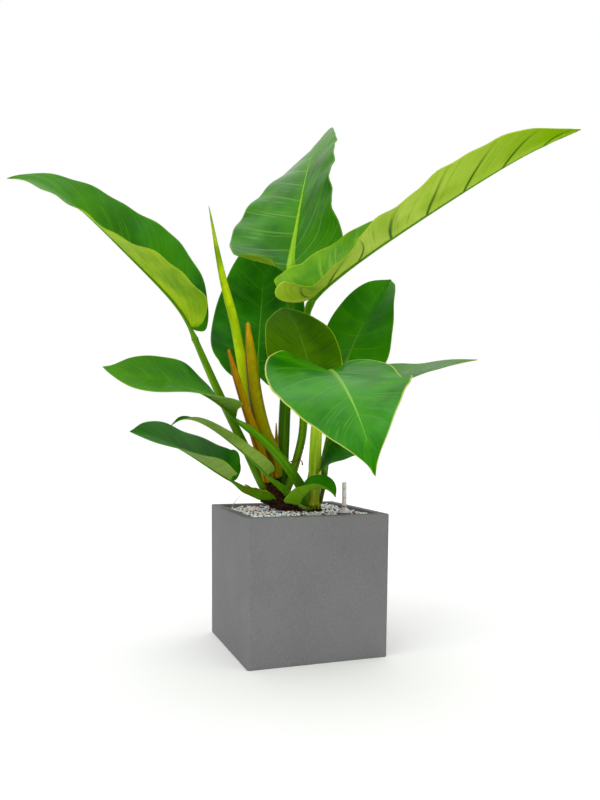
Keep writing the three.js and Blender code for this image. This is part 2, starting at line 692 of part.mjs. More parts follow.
function rootBall(grow = 0) {
  const { radius, x, y, bottom, shoulderZ, sides, rings } = ROOT_BALL;
  const { edgeZ, relief, mound } = SOIL_TOP;
  const around = (centre, reachAt, heightAt) =>
    Array.from({ length: sides }, (_, k) => {
      const turn = (2 * Math.PI * k) / sides;
      const px = centre.x + (reachAt(turn) + grow) * Math.cos(turn);
      const py = centre.y + (reachAt(turn) + grow) * Math.sin(turn);
      return new THREE.Vector3(px, py, heightAt(px, py, k));
    });
  const round = (share, z) => around({ x, y }, () => radius * share, () => z);
  const drawnIn = (share, z) => around(SOIL_TOP, (turn) => soilReach(turn) * share, () => z);
  const top = (share) =>
    around(
      SOIL_TOP,
      (turn) => soilReach(turn) * share,
      (px, py, k) => {
        const away = Math.hypot(px - mound.x, py - mound.y) / mound.spread;
        const swell = mound.height * Math.exp(-away * away) * (1 - share ** 6);
        return edgeZ + swell + relief * (scatter(k, Math.round(share * 20)) - 0.5) + grow;
      },
    );
  const levels = [round(0.86, bottom - grow), round(1, bottom + 12), round(1.02, shoulderZ)];
  levels.push(drawnIn(1.05, 232));
  for (let i = rings; i > 0; i--) levels.push(top(i / rings));
  return loft(levels);
}

place("root_ball", clearOfOthers(rootBall()), COLOUR.soil, { roughness: 1 });

// Water gauge: a shaft down to the floor, a flared collar, a clear tube and the float in it

const shaftFoot = PLANTER.floor + FIT_GAP;
const gaugeShaft = turned(
  [
    [GAUGE.bore, shaftFoot],
    [GAUGE.shaft, shaftFoot],
    [GAUGE.shaft, GRAVEL.top - 2],
    [GAUGE.bore, GRAVEL.top - 2],
    [GAUGE.bore, shaftFoot],
  ],
  14, GAUGE.x, GAUGE.y,
);
const collarFoot = GRAVEL.top - 2 + FIT_GAP;
const collarBore = GAUGE.tube + FIT_GAP;
const gaugeCollar = turned(
  [
    [collarBore, collarFoot],
    [GAUGE.skirt - 1, collarFoot],
    [GAUGE.skirt, collarFoot + 3],
    [GAUGE.skirt - 2.2, collarFoot + 8],
    [GAUGE.tube + 3.4, collarFoot + 13],
    [GAUGE.tube + 1.8, GAUGE.collarTop],
    [collarBore, GAUGE.collarTop],
    [collarBore, collarFoot],
  ],
  20, GAUGE.x, GAUGE.y,
);
const gaugeTube = turned(
  [
    [GAUGE.tubeBore, collarFoot],
    [GAUGE.tube, collarFoot],
    [GAUGE.tube, GAUGE.top - 0.8],
    [GAUGE.tube - 0.8, GAUGE.top],
    [0, GAUGE.top],
    [0, GAUGE.top - 1.2],
    [GAUGE.tubeBore, GAUGE.top - 1.2],
    [GAUGE.tubeBore, collarFoot],
  ],
  16, GAUGE.x, GAUGE.y,
);
const gaugeFloat = turned(
  [
    [0, shaftFoot],
    [FLOAT.body - 1, shaftFoot],
    [FLOAT.body, shaftFoot + 2],
    [FLOAT.body, shaftFoot + FLOAT.bodyLength],
    [FLOAT.stem, shaftFoot + FLOAT.bodyLength + 4],
    [FLOAT.stem, FLOAT.top - 6],
    [FLOAT.tip, FLOAT.top - 5],
    [FLOAT.tip, FLOAT.top - 1],
    [0, FLOAT.top],
  ],
  12, GAUGE.x, GAUGE.y,
);
place("gauge_shaft", gaugeShaft, COLOUR.gaugeClear);
place("gauge_collar", gaugeCollar, COLOUR.gaugeCollar, { roughness: 0.3 });
place("gauge_tube", gaugeTube, COLOUR.gaugeClear, { roughness: 0.15, transparent: true, opacity: 0.5 });
place("gauge_float", gaugeFloat, COLOUR.gaugeFloat);

// Mineral gravel: fills the planter round the root ball, its top raised into grains

function gravelFill() {
  const reach = innerSide / 2 + 6;
  const cells = Math.round((2 * reach) / GRAVEL.grain);
  const points = [];
  const triangles = [];
  const at = (i, j) => i * (cells + 1) + j;
  for (let i = 0; i <= cells; i++) {
    for (let j = 0; j <= cells; j++) {
      const x = THREE.MathUtils.lerp(-reach, reach, i / cells) + 2.5 * (scatter(i, j) - 0.5);
      const y = THREE.MathUtils.lerp(-reach, reach, j / cells) + 2.5 * (scatter(j + 50, i) - 0.5);
      const z = GRAVEL.top + 2 * GRAVEL.relief * (scatter(i + 9, j + 4) - 0.5);
      points.push(new THREE.Vector3(x, y, z));
    }
  }
  const count = points.length;
  const depth = PLANTER.floor - 5;
  points.push(...points.map((p) => new THREE.Vector3(p.x, p.y, depth)));
  for (let i = 0; i < cells; i++) {
    for (let j = 0; j < cells; j++) {
      const [a, b, c, d] = [at(i, j), at(i + 1, j), at(i + 1, j + 1), at(i, j + 1)];
      triangles.push([a, b, c], [a, c, d]);
      triangles.push([a + count, c + count, b + count], [a + count, d + count, c + count]);
    }
  }
  for (let i = 0; i < cells; i++) {
    const rim = [
      [at(i, 0), at(i + 1, 0)],
      [at(cells, i), at(cells, i + 1)],
      [at(cells - i, cells), at(cells - i - 1, cells)],
      [at(0, cells - i), at(0, cells - i - 1)],
    ];
    rim.forEach(([p, q]) => triangles.push([q, p, p + count], [q, p + count, q + count]));
  }
  return solidOf(points, triangles);
}

const shaftHole = turned(
  [
    [0, shaftFoot - 5],
    [GAUGE.shaft + FIT_GAP, shaftFoot - 5],
    [GAUGE.shaft + FIT_GAP, collarFoot - 2],
    [GAUGE.skirt + FIT_GAP, collarFoot - 2],
    [GAUGE.skirt + FIT_GAP, GAUGE.collarTop],
    [0, GAUGE.collarTop],
  ],
  20, GAUGE.x, GAUGE.y,
);
const gravel = gravelFill()
  .intersect(planterHollow(PLANTER.height, FIT_GAP))
  .subtract(rootBall(FIT_GAP))
  .subtract(shaftHole);
place("gravel", clearOfOthers(gravel), COLOUR.gravel, { roughness: 0.9 });

export default plant;
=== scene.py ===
"""Potted imperial green philodendron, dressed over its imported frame.

The plant's forms are given in millimetres, as in the part's source, and turned into metres where
a mesh is made. The origin is the centre of the planter's underside, Z is up and -Y is the front.
"""

import logging
import math
from collections.abc import Callable, Sequence
from dataclasses import dataclass, field
from enum import Enum

import bmesh
import bpy
import numpy as np
from mathutils import Matrix, Vector


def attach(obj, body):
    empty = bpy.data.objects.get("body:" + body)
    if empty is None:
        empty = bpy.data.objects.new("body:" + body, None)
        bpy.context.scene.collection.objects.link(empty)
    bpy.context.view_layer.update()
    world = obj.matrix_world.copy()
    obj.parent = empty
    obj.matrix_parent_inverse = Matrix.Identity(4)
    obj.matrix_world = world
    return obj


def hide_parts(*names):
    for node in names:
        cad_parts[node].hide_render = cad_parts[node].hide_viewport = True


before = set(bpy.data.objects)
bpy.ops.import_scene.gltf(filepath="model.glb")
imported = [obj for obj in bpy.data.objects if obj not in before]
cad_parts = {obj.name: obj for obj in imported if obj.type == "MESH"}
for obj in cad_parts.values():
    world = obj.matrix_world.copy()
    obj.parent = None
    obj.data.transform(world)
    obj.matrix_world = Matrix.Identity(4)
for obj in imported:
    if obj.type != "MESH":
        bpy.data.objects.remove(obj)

MM = 0.001
SEED = 41
LINES = "lines"  # UV map that runs across and along a blade or a stalk
ALONG = "along"  # value of each point of a blade, 0 at its base and 1 at its tip
TINT = "tint"  # random value of each grain
WELD_DISTANCE = 2e-6  # in metres
log = logging.getLogger("philodendron")

Array = np.ndarray
Material = bpy.types.Material
Node = bpy.types.Node
Piece = bpy.types.Object
Socket = bpy.types.NodeSocket
Pair = tuple[float, float]
Triple = tuple[float, float, float]
Colour = tuple[float, float, float, float]

LEFT_CROWN = (-33.0, 27.0)
RIGHT_CROWN = (28.0, -2.0)
GAUGE = (57.0, -88.0)

WAX: Colour = (0.6, 1.0, 0.2, 1.0)  # tint of the light that waxy green skins reflect
DRY_SKIN: Colour = (1.0, 0.8, 0.25, 1.0)  # the same for sheaths
PAINTED_SHEEN: Colour = (0.13, 0.4, 0.14, 1.0)  # pale painted sheen on the upper faces, colour that stands in for reflected light


def srgb(red: int, green: int, blue: int) -> Colour:
    """Turns a colour as seen on a screen, 0 to 255, into linear light.

    Args:
        red: Red, 0 to 255.
        green: Green, 0 to 255.
        blue: Blue, 0 to 255.

    Returns:
        The linear colour with full alpha.
    """
    linear = [
        c / 12.92 if c <= 0.04045 else ((c + 0.055) / 1.055) ** 2.4
        for c in (red / 255, green / 255, blue / 255)
    ]
    return (*linear, 1.0)


def keyed(values: tuple[float, ...], t: Array) -> Array:
    """Reads the polynomial through values spread evenly over 0 to 1.

    Args:
        values: Three or four values.
        t: Places from 0 to 1.

    Returns:
        The values at those places.
    """
    t = np.asarray(t, dtype=float)
    last = len(values) - 1
    total = np.zeros_like(t)
    for i, value in enumerate(values):
        term = np.full_like(t, float(value))
        for j in range(last + 1):
            if j != i:
                term = term * (t * last - j) / (i - j)
        total += term
    return total


def unit(vectors: Array) -> Array:
    """Scales each vector to length 1."""
    return vectors / np.maximum(np.linalg.norm(vectors, axis=-1, keepdims=True), 1e-12)


def smooth_route(route: Sequence[Triple] | Array, steps: int) -> tuple[Array, Array]:
    """Samples a smooth curve through points at even distances.

    Args:
        route: The points that it passes through.
        steps: Number of stretches between the samples.

    Returns:
        The samples, and each sample's place as a fractional index into the route.
    """
    points = np.asarray(route, dtype=float)
    padded = np.vstack([2 * points[0] - points[1], points, 2 * points[-1] - points[-2]])
    knots = np.concatenate([[0], np.cumsum(np.linalg.norm(np.diff(padded, axis=0), axis=1) ** 0.5)])
    fine, places = [], []
    for i in range(1, len(padded) - 2):
        k0, k1, k2, k3 = knots[i - 1 : i + 3]
        s = np.linspace(k1, k2, 12, endpoint=False)[:, None]
        p0, p1, p2, p3 = padded[i - 1 : i + 3]
        a1 = (k1 - s) / (k1 - k0) * p0 + (s - k0) / (k1 - k0) * p1
        a2 = (k2 - s) / (k2 - k1) * p1 + (s - k1) / (k2 - k1) * p2
        a3 = (k3 - s) / (k3 - k2) * p2 + (s - k2) / (k3 - k2) * p3
        b1 = (k2 - s) / (k2 - k0) * a1 + (s - k0) / (k2 - k0) * a2
        b2 = (k3 - s) / (k3 - k1) * a2 + (s - k1) / (k3 - k1) * a3
        fine.append((k2 - s) / (k2 - k1) * b1 + (s - k1) / (k2 - k1) * b2)
        places.append(i - 1 + np.linspace(0, 1, 12, endpoint=False))
    fine.append(points[-1:])
    places.append([len(points) - 1])
    curve, place = np.vstack(fine), np.concatenate(places)
    travelled = np.concatenate([[0], np.cumsum(np.linalg.norm(np.diff(curve, axis=0), axis=1))])
    wanted = np.linspace(0, travelled[-1], steps + 1)
    samples = np.column_stack([np.interp(wanted, travelled, curve[:, k]) for k in range(3)])
    return samples, np.interp(wanted, travelled, place)


@dataclass
class MeshParts:
    """Points, faces and their extras, gathered before they become one mesh.

    Attributes:
        points: Blocks of points in millimetres.
        faces: Corner numbers of each face.
        slots: Material number of each face.
        lines: UV of each corner, or nothing if the mesh has none.
        values: Blocks of one number per point for each named attribute.
        count: Number of points so far.
    """

    points: list[Array] = field(default_factory=list)
    faces: list[tuple[int, ...]] = field(default_factory=list)
    slots: list[int] = field(default_factory=list)
    lines: list[Pair] = field(default_factory=list)
    values: dict[str, list[Array]] = field(default_factory=dict)
    count: int = 0

    def add(self, points: Array, faces: Array | list, slot: int = 0) -> int:
        """Adds points and the faces between them.

        Args:
            points: Points in millimetres.
            faces: Faces that count from 0 within these points.
            slot: Material number of the faces.

        Returns:
            The number of the first point.
        """
        first = self.count
        self.points.append(np.asarray(points, dtype=float))
        self.faces += [tuple(int(c) + first for c in face) for face in faces]
        self.slots += [slot] * len(faces)
        self.count += len(points)
        return first

    def add_rings(
        self,
        rings: Array,
        along: Array | None = None,
        ends: tuple[bool, bool] = (True, True),
        turn: float = 0.5,
    ) -> None:
        """Adds rings of points that follow each other, and the faces between them.

        Args:
            rings: The points of each ring.
            along: Value of each ring for the UVs, or None for no UVs.
            ends: Whether a face closes the first and the last ring.
            turn: The other value for the UVs of those two faces.
        """
        count, sides = rings.shape[:2]
        first = self.add(rings.reshape(-1, 3), ring_faces(count, sides))
        if along is not None:
            self.lines += ring_lines(count, sides, along)
        for end, closed in zip((0, count - 1), ends):
            if closed:
                ring = tuple(range(first + end * sides, first + (end + 1) * sides))
                self.faces.append(ring if end else ring[::-1])
                self.slots.append(0)
                if along is not None:
                    self.lines += [(turn, float(along[end]))] * sides

    def mark(self, key: str, values: Array) -> None:
        """Adds one value for each of the points that were added last."""
        self.values.setdefault(key, []).append(np.asarray(values, dtype=float).ravel())

    def build(
        self, name: str, materials: list[Material], smooth: bool = True, weld: bool = False
    ) -> Piece:
        """Makes the mesh and its object.

        Args:
            name: Name of the piece.
            materials: Its materials, in the order of the slots.
            smooth: Whether the faces are shaded smooth.
            weld: Whether points in one place become one.

        Returns:
            The new object, in the scene.
        """
        mesh = bpy.data.meshes.new(name)
        mesh.from_pydata((np.vstack(self.points) * MM).tolist(), [], self.faces)
        for material in materials:
            mesh.materials.append(material)
        mesh.polygons.foreach_set("material_index", self.slots)
        mesh.polygons.foreach_set("use_smooth", [smooth] * len(self.faces))
        if self.lines:
            layer = mesh.uv_layers.new(name=LINES)
            layer.data.foreach_set("uv", np.asarray(self.lines, dtype=float).ravel())
        for key, blocks in self.values.items():
            mesh.attributes.new(key, "FLOAT", "POINT").data.foreach_set("value", np.concatenate(blocks))
        if weld:
            weld_points(mesh)
        mesh.validate()
        mesh.update()
        piece = bpy.data.objects.new(name, mesh)
        bpy.context.scene.collection.objects.link(piece)
        return piece


def weld_points(mesh: bpy.types.Mesh) -> None:
    """Joins points of a mesh that lie in one place.

    Args:
        mesh: The mesh to change.
    """
    work = bmesh.new()
    work.from_mesh(mesh)
    bmesh.ops.remove_doubles(work, verts=work.verts, dist=WELD_DISTANCE)
    work.to_mesh(mesh)
    work.free()


def place(piece: Piece, slot: str, *nodes: str) -> Piece:
    """Fixes a piece to the plant's body and hides the frame's nodes that it takes the place of.

    Args:
        piece: The finished piece.
        slot: Not used.
        nodes: Nodes of the frame that it takes the place of.

    Returns:
        The same piece.
    """
    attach(piece, "root")
    if nodes:
        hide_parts(*nodes)
    log.info("%s: %d faces", piece.name, len(piece.data.polygons))
    return piece


def ring_faces(rings: int, sides: int, closed: bool = True) -> list[tuple[int, int, int, int]]:
    """Faces between rings of points that follow each other.

    Args:
        rings: Number of rings.
        sides: Points in each.
        closed: Whether each ring comes back to its first point.

    Returns:
        The four corners of each face.
    """
    faces = []
    for i in range(rings - 1):
        for k in range(sides if closed else sides - 1):
            a, b = i * sides + k, i * sides + (k + 1) % sides
            faces.append((a, b, b + sides, a + sides))
    return faces


def ring_lines(rings: int, sides: int, along: Array) -> list[Pair]:
    """UVs of ring_faces: the turn round the ring, and a value that runs along the rings.

    Args:
        rings: Number of rings.
        sides: Points in each.
        along: Value of each ring.

    Returns:
        One UV for each corner.
    """
    lines = []
    for i in range(rings - 1):
        for k in range(sides):
            left, right = k / sides, (k + 1) / sides
            low, high = float(along[i]), float(along[i + 1])
            lines += [(left, low), (right, low), (right, high), (left, high)]
    return lines


def section_rings(
    centres: Array, aim: Array, reach: Array, flat: Array | float = 1.0
) -> Array:
    """Rings of points round a route.

    Args:
        centres: Points of the route.
        aim: Direction that each ring's first axis should face.
        reach: Distance of each point from its ring's centre, a row for each ring.
        flat: Size along the first axis, as a share of that along the second.

    Returns:
        The rings, one row for each.
    """
    forward = unit(np.gradient(centres, axis=0))
    first = unit(aim - forward * np.sum(aim * forward, axis=1, keepdims=True))
    second = np.cross(forward, first)
    turn = 2 * np.pi * np.arange(reach.shape[1]) / reach.shape[1]
    return (
        centres[:, None]
        + first[:, None] * (np.cos(turn) * flat * reach)[..., None]
        + second[:, None] * (np.sin(turn) * reach)[..., None]
    )


def towards_axis(centres: Array, axis: Pair) -> Array:
    """Level directions from points to an upright axis."""
    return np.column_stack([axis[0] - centres[:, 0], axis[1] - centres[:, 1], np.zeros(len(centres))])


def thin_sheet(
    name: str,
    points: Array,
    material: Material,
    thickness: float,
    offset: float = -1.0,
    line: Callable[[int, int], Pair] | None = None,
) -> Piece:
    """Makes a thin sheet from a grid of points.

    Args:
        name: Name of the piece.
        points: Rows and columns of points, in mm.
        material: Its material.
        thickness: Its thickness, in mm.
        offset: Side that the thickness goes to, from -1 to 1.
        line: Gives the UV of the point in a row and column, or None for no UVs.

    Returns:
        The piece.
    """
    rows, columns = points.shape[:2]
    parts = MeshParts()
    parts.add(points.reshape(-1, 3), ring_faces(rows, columns, closed=False))
    if line:
        for i in range(rows - 1):
            for k in range(columns - 1):
                parts.lines += [line(*corner) for corner in ((i, k), (i, k + 1), (i + 1, k + 1), (i + 1, k))]
    piece = parts.build(name, [material])
    body = piece.modifiers.new("thickness", "SOLIDIFY")
    body.thickness = thickness * MM
    body.offset = offset
    return piece


# Shader building


class NodeGraph:
    """Adds nodes to a tree and joins them.

    Attributes:
        tree: The node tree that is built.
    """

    def __init__(self, tree: bpy.types.NodeTree) -> None:
        """Starts on the tree of a material or a group."""
        self.tree = tree

    def add(self, kind: str, inputs: dict | None = None, **settings: object) -> Node:
        """Adds a node.

        Args:
            kind: Type name of the node.
            inputs: Socket names or numbers, each with a value or an output socket.
            settings: Properties of the node.

        Returns:
            The node.
        """
        node = self.tree.nodes.new(kind)
        for key, value in settings.items():
            setattr(node, key, value)
        for key, value in (inputs or {}).items():
            self.feed(node.inputs[key], value)
        return node

    def feed(self, socket: Socket, value: object) -> None:
        """Links an output to a socket, or sets the socket's own value."""
        if isinstance(value, Socket):
            self.tree.links.new(value, socket)
        else:
            socket.default_value = value

    def math(self, operation: str, a: object, b: object = 0.0, clamp: bool = False) -> Socket:
        """Adds a Math node and returns its output."""
        return self.add("ShaderNodeMath", {0: a, 1: b}, operation=operation, use_clamp=clamp).outputs[0]

    def mix(self, factor: object, a: object, b: object) -> Socket:
        """Mixes two colours and returns the result."""
        return self.add("ShaderNodeMix", {0: factor, 6: a, 7: b}, data_type="RGBA").outputs[2]

    def tint(self, mask: object, share: object, below: object, colour: object) -> Socket:
        """Lays a colour over another where a mask shows.

        Args:
            mask: Where it shows, 0 to 1.
            share: How much of it shows there.
            below: The colour under it.
            colour: The colour laid on.

        Returns:
            The result.
        """
        return self.mix(self.math("MULTIPLY", mask, share), below, colour)

    def remap(
        self, value: object, low: object, high: object, to_low: float = 0.0, to_high: float = 1.0
    ) -> Socket:
        """Carries a range over to another with soft ends.

        Args:
            value: What is read.
            low: Where the range starts.
            high: Where it ends.
            to_low: Result at the start.
            to_high: Result at the end.

        Returns:
            The result.
        """
        inputs = {0: value, 1: low, 2: high, 3: to_low, 4: to_high}
        return self.add("ShaderNodeMapRange", inputs, interpolation_type="SMOOTHSTEP").outputs[0]

    def noise(
        self, vector: object, scale: object, detail: float = 2.0, roughness: float = 0.5
    ) -> Socket:
        """Adds a noise texture and returns its value."""
        inputs = {"Vector": vector, "Scale": scale, "Detail": detail, "Roughness": roughness}
        return self.add("ShaderNodeTexNoise", inputs).outputs[0]

    def bands(self, value: object, stops: tuple[tuple[float, Colour], ...]) -> Socket:
        """Turns a value into one of some colours.

        Args:
            value: What is read, 0 to 1.
            stops: Where each colour starts, and the colour.

        Returns:
            The colour.
        """
        node = self.add("ShaderNodeValToRGB", {0: value})
        ramp = node.color_ramp
        ramp.interpolation = "CONSTANT"
        while len(ramp.elements) < len(stops):
            ramp.elements.new(0.5)
        for element, (at, colour) in zip(ramp.elements, stops):
            element.position = at
            element.color = colour
        return node.outputs[0]

    def place_in_object(self) -> Socket:
        """Coordinates of the piece itself, in metres."""
        return self.add("ShaderNodeTexCoord").outputs["Object"]

    def lines(self) -> tuple[Socket, Socket]:
        """The two values of the UV map that follows a blade or stalk."""
        split = self.add("ShaderNodeSeparateXYZ", {0: self.add("ShaderNodeUVMap", uv_map=LINES).outputs[0]})
        return split.outputs[0], split.outputs[1]


class Effect:
    """A shader node group with named inputs and outputs, built once.

    Attributes:
        group: The node tree of the group.
        graph: Builder for its nodes.
        source: Output sockets of the group's input node.
        result: The group's output node.
    """

    def __init__(self, name: str, inputs: dict[str, float], outputs: tuple[str, ...]) -> None:
        """Makes the empty group and its sockets.

        Args:
            name: Name of the group.
            inputs: Names of the inputs, with their usual values.
            outputs: Names of the outputs.
        """
        self.group = bpy.data.node_groups.new(name, "ShaderNodeTree")
        for key, value in inputs.items():
            socket = self.group.interface.new_socket(key, in_out="INPUT", socket_type="NodeSocketFloat")
            socket.default_value = value
        for key in outputs:
            self.group.interface.new_socket(key, in_out="OUTPUT", socket_type="NodeSocketFloat")
        self.graph = NodeGraph(self.group)
        self.source = self.graph.add("NodeGroupInput").outputs
        self.result = self.graph.add("NodeGroupOutput")

    def give(self, **values: object) -> None:
        """Feeds the group's outputs, each named with _ for a space."""
        for key, value in values.items():
            self.graph.feed(self.result.inputs[key.replace("_", " ").capitalize()], value)

    def use(self, graph: NodeGraph, **values: object) -> bpy.types.NodeOutputs:
        """Places the group in a material.

        Args:
            graph: The material's graph.
            values: Inputs, each named with _ for a space.

        Returns:
            The outputs of the placed group.
        """
        inputs = {key.replace("_", " ").capitalize(): value for key, value in values.items()}
        return graph.add("ShaderNodeGroup", inputs, node_tree=self.group).outputs


class BladeLines(Effect):
    """Lateral veins, the finer lines between them, and the margin of a blade."""

    def __init__(self) -> None:
        """Builds the group."""
        outputs = ("Vein", "Fine", "Line", "Margin", "Inner", "Tip", "Foot")
        super().__init__("Blade lines", {"Vein width": 0.07, "Fine": 9.0}, outputs)
        graph = self.graph
        across, phase = graph.lines()
        share = graph.math("ABSOLUTE", across)
        to_vein = graph.math("ABSOLUTE", graph.math("SUBTRACT", graph.math("FRACT", phase), 0.5))
        start = graph.math("SUBTRACT", 0.5, self.source["Vein width"])
        pulse = graph.remap(to_vein, start, 0.5)
        vein = graph.math("MULTIPLY", pulse, graph.remap(share, 0.3, 1.0, 1.0, 0.15))
        stretched = {0: graph.math("MULTIPLY", phase, self.source["Fine"]), 1: across}
        lines = graph.noise(graph.add("ShaderNodeCombineXYZ", stretched).outputs[0], 1.0, 3.0, 0.6)
        along = graph.add("ShaderNodeAttribute", attribute_name=ALONG).outputs["Fac"]
        self.give(
            tip=graph.remap(along, 0.4, 1.0),
            foot=graph.remap(along, 0.0, 0.3, 1.0, 0.0),
            vein=vein,
            fine=graph.remap(lines, 0.3, 0.7),
            line=graph.remap(lines, 0.56, 0.68),
            margin=graph.remap(share, 0.972, 0.992),
            inner=graph.remap(share, 0.0, 0.35, 1.0, 0.0),
        )


class Mottle(Effect):
    """Soft cloudy patches with some smaller spots."""

    def __init__(self) -> None:
        """Builds the group."""
        super().__init__("Mottle", {"Size": 12.0, "Spots": 90.0}, ("Patch", "Spot"))
        graph = self.graph
        where = graph.place_in_object()
        patch = graph.noise(where, self.source["Size"], 3.0, 0.55)
        spot = graph.noise(where, self.source["Spots"], 2.0, 0.6)
        self.give(patch=graph.remap(patch, 0.32, 0.68), spot=graph.remap(spot, 0.55, 0.75))


class Fibres(Effect):
    """Streaks that run along a stalk, sheath or stem."""

    def __init__(self) -> None:
        """Builds the group."""
        super().__init__("Fibres", {"Round": 14.0, "Length": 9.0}, ("Streak", "Dash"))
        graph = self.graph
        turn, along = graph.lines()
        angle = graph.math("MULTIPLY", turn, 2 * math.pi)
        radius = graph.math("MULTIPLY", self.source["Round"], 0.16)
        inputs = {
            0: graph.math("MULTIPLY", graph.math("COSINE", angle), radius),
            1: graph.math("MULTIPLY", graph.math("SINE", angle), radius),
            2: graph.math("MULTIPLY", along, self.source["Length"]),
        }
        vector = graph.add("ShaderNodeCombineXYZ", inputs).outputs[0]
        streak = graph.noise(vector, 1.0, 3.0, 0.6)
        dash = graph.noise(vector, 4.0, 2.0, 0.5)
        self.give(streak=graph.remap(streak, 0.3, 0.7), dash=graph.remap(dash, 0.5, 0.75))


@dataclass
class Effects:
    """The node groups that the finishes share."""

    blade: BladeLines
    mottle: Mottle
    fibres: Fibres


def new_material(name: str) -> tuple[Material, NodeGraph, Node]:
    """Makes a material with one Principled shader.

    Args:
        name: Name of the material.

    Returns:
        The material, its graph and the shader.
    """
    material = bpy.data.materials.new(name)
    material.use_nodes = True
    graph = NodeGraph(material.node_tree)
    return material, graph, material.node_tree.nodes["Principled BSDF"]


def finish_shader(
    graph: NodeGraph,
    shader: Node,
    colour: object,
    roughness: object,
    height: object | None = None,
    depth_mm: float = 0.3,
    strength: float = 0.6,
) -> None:
    """Feeds a shader's colour, roughness and relief.

    Args:
        graph: The material's graph.
        shader: The Principled shader.
        colour: Base colour.
        roughness: Roughness.
        height: Relief from 0 to 1, or None for a smooth surface.
        depth_mm: Height of the relief.
        strength: How strongly the relief shows.
    """
    graph.feed(shader.inputs["Base Color"], colour)
    graph.feed(shader.inputs["Roughness"], roughness)
    if height is not None:
        inputs = {"Height": height, "Distance": depth_mm * MM, "Strength": strength}
        graph.feed(shader.inputs["Normal"], graph.add("ShaderNodeBump", inputs).outputs[0])


# Finishes


class Finish:
    """Look of one kind of surface."""

    def material(self, name: str, effects: Effects) -> Material:
        """Makes the material.

        Args:
            name: Name of the material.
            effects: Shared node groups.

        Returns:
            The material.
        """
        material, graph, shader = new_material(name)
        self.paint(graph, shader, effects)
        return material

    def paint(self, graph: NodeGraph, shader: Node, effects: Effects) -> None:
        """Feeds the material's shader, in each finish's own way."""
        raise NotImplementedError


@dataclass(frozen=True)
class BladeFinish(Finish):
    """Colours and gloss of one face of a leaf blade.

    Attributes:
        deep: Darkest green.
        fresh: Lighter green.
        vein: Colour of the lateral veins.
        margin: Colour of the thin edge.
        tip: Colour that the green turns to near the tip.
        sheen: How strongly pale streaks of painted sheen, standing in for reflected light, show between the
            veins.
        vein_show: How clearly the veins show.
        fine_show: How clearly the fine lines show.
        tip_show: How far the tip takes its own colour.
        foot_show: How far the base takes the darkest green, as painted shade.
        gloss: Roughness of the smoothest places.
        shine: Specular level of the waxy skin.
        vein_width: Width of a lateral vein as a share of the gap between veins.
    """

    deep: Colour
    fresh: Colour
    vein: Colour
    margin: Colour
    tip: Colour
    sheen: float = 0.0
    vein_show: float = 0.35
    fine_show: float = 0.35
    tip_show: float = 0.5
    foot_show: float = 0.0
    gloss: float = 0.36
    shine: float = 0.35
    vein_width: float = 0.07

    def paint(self, graph: NodeGraph, shader: Node, effects: Effects) -> None:
        """Lays the veins, painted sheen streaks, margin and tip over a mottled green."""
        lines = effects.blade.use(graph, vein_width=self.vein_width)
        clouds = effects.mottle.use(graph)
        green = graph.mix(clouds["Patch"], self.deep, self.fresh)
        green = graph.tint(lines["Fine"], self.fine_show, green, self.deep)
        green = graph.tint(lines["Line"], 0.7 * self.fine_show, green, self.vein)
        green = graph.tint(lines["Tip"], self.tip_show, green, self.tip)
        green = graph.tint(lines["Inner"], 0.35, green, self.fresh)
        # Painted shade: the blade turns to its darkest green towards its base.
        green = graph.tint(lines["Foot"], self.foot_show, green, self.deep)
        # Painted sheen: pale streaks in broad patches stand in for light reflected off the waxy skin.
        broad = graph.remap(graph.noise(graph.place_in_object(), 9.0, 2.0), 0.42, 0.75)
        soft = graph.math("ADD", graph.math("MULTIPLY", lines["Fine"], 0.5), 0.25)
        streaks = graph.math("MULTIPLY", graph.math("MULTIPLY", soft, broad), self.sheen)
        green = graph.mix(streaks, green, PAINTED_SHEEN)
        green = graph.tint(lines["Vein"], self.vein_show, green, self.vein)
        green = graph.tint(clouds["Spot"], 0.1, green, self.fresh)
        green = graph.tint(lines["Margin"], 0.8, green, self.margin)
        rough = graph.math("ADD", graph.math("MULTIPLY", clouds["Patch"], 0.14), self.gloss)
        height = graph.math("SUBTRACT", graph.math("MULTIPLY", lines["Fine"], 0.35), lines["Vein"])
        finish_shader(graph, shader, green, rough, height, 0.35, 0.5)
        shader.inputs["Specular IOR Level"].default_value = self.shine
        shader.inputs["Specular Tint"].default_value = WAX


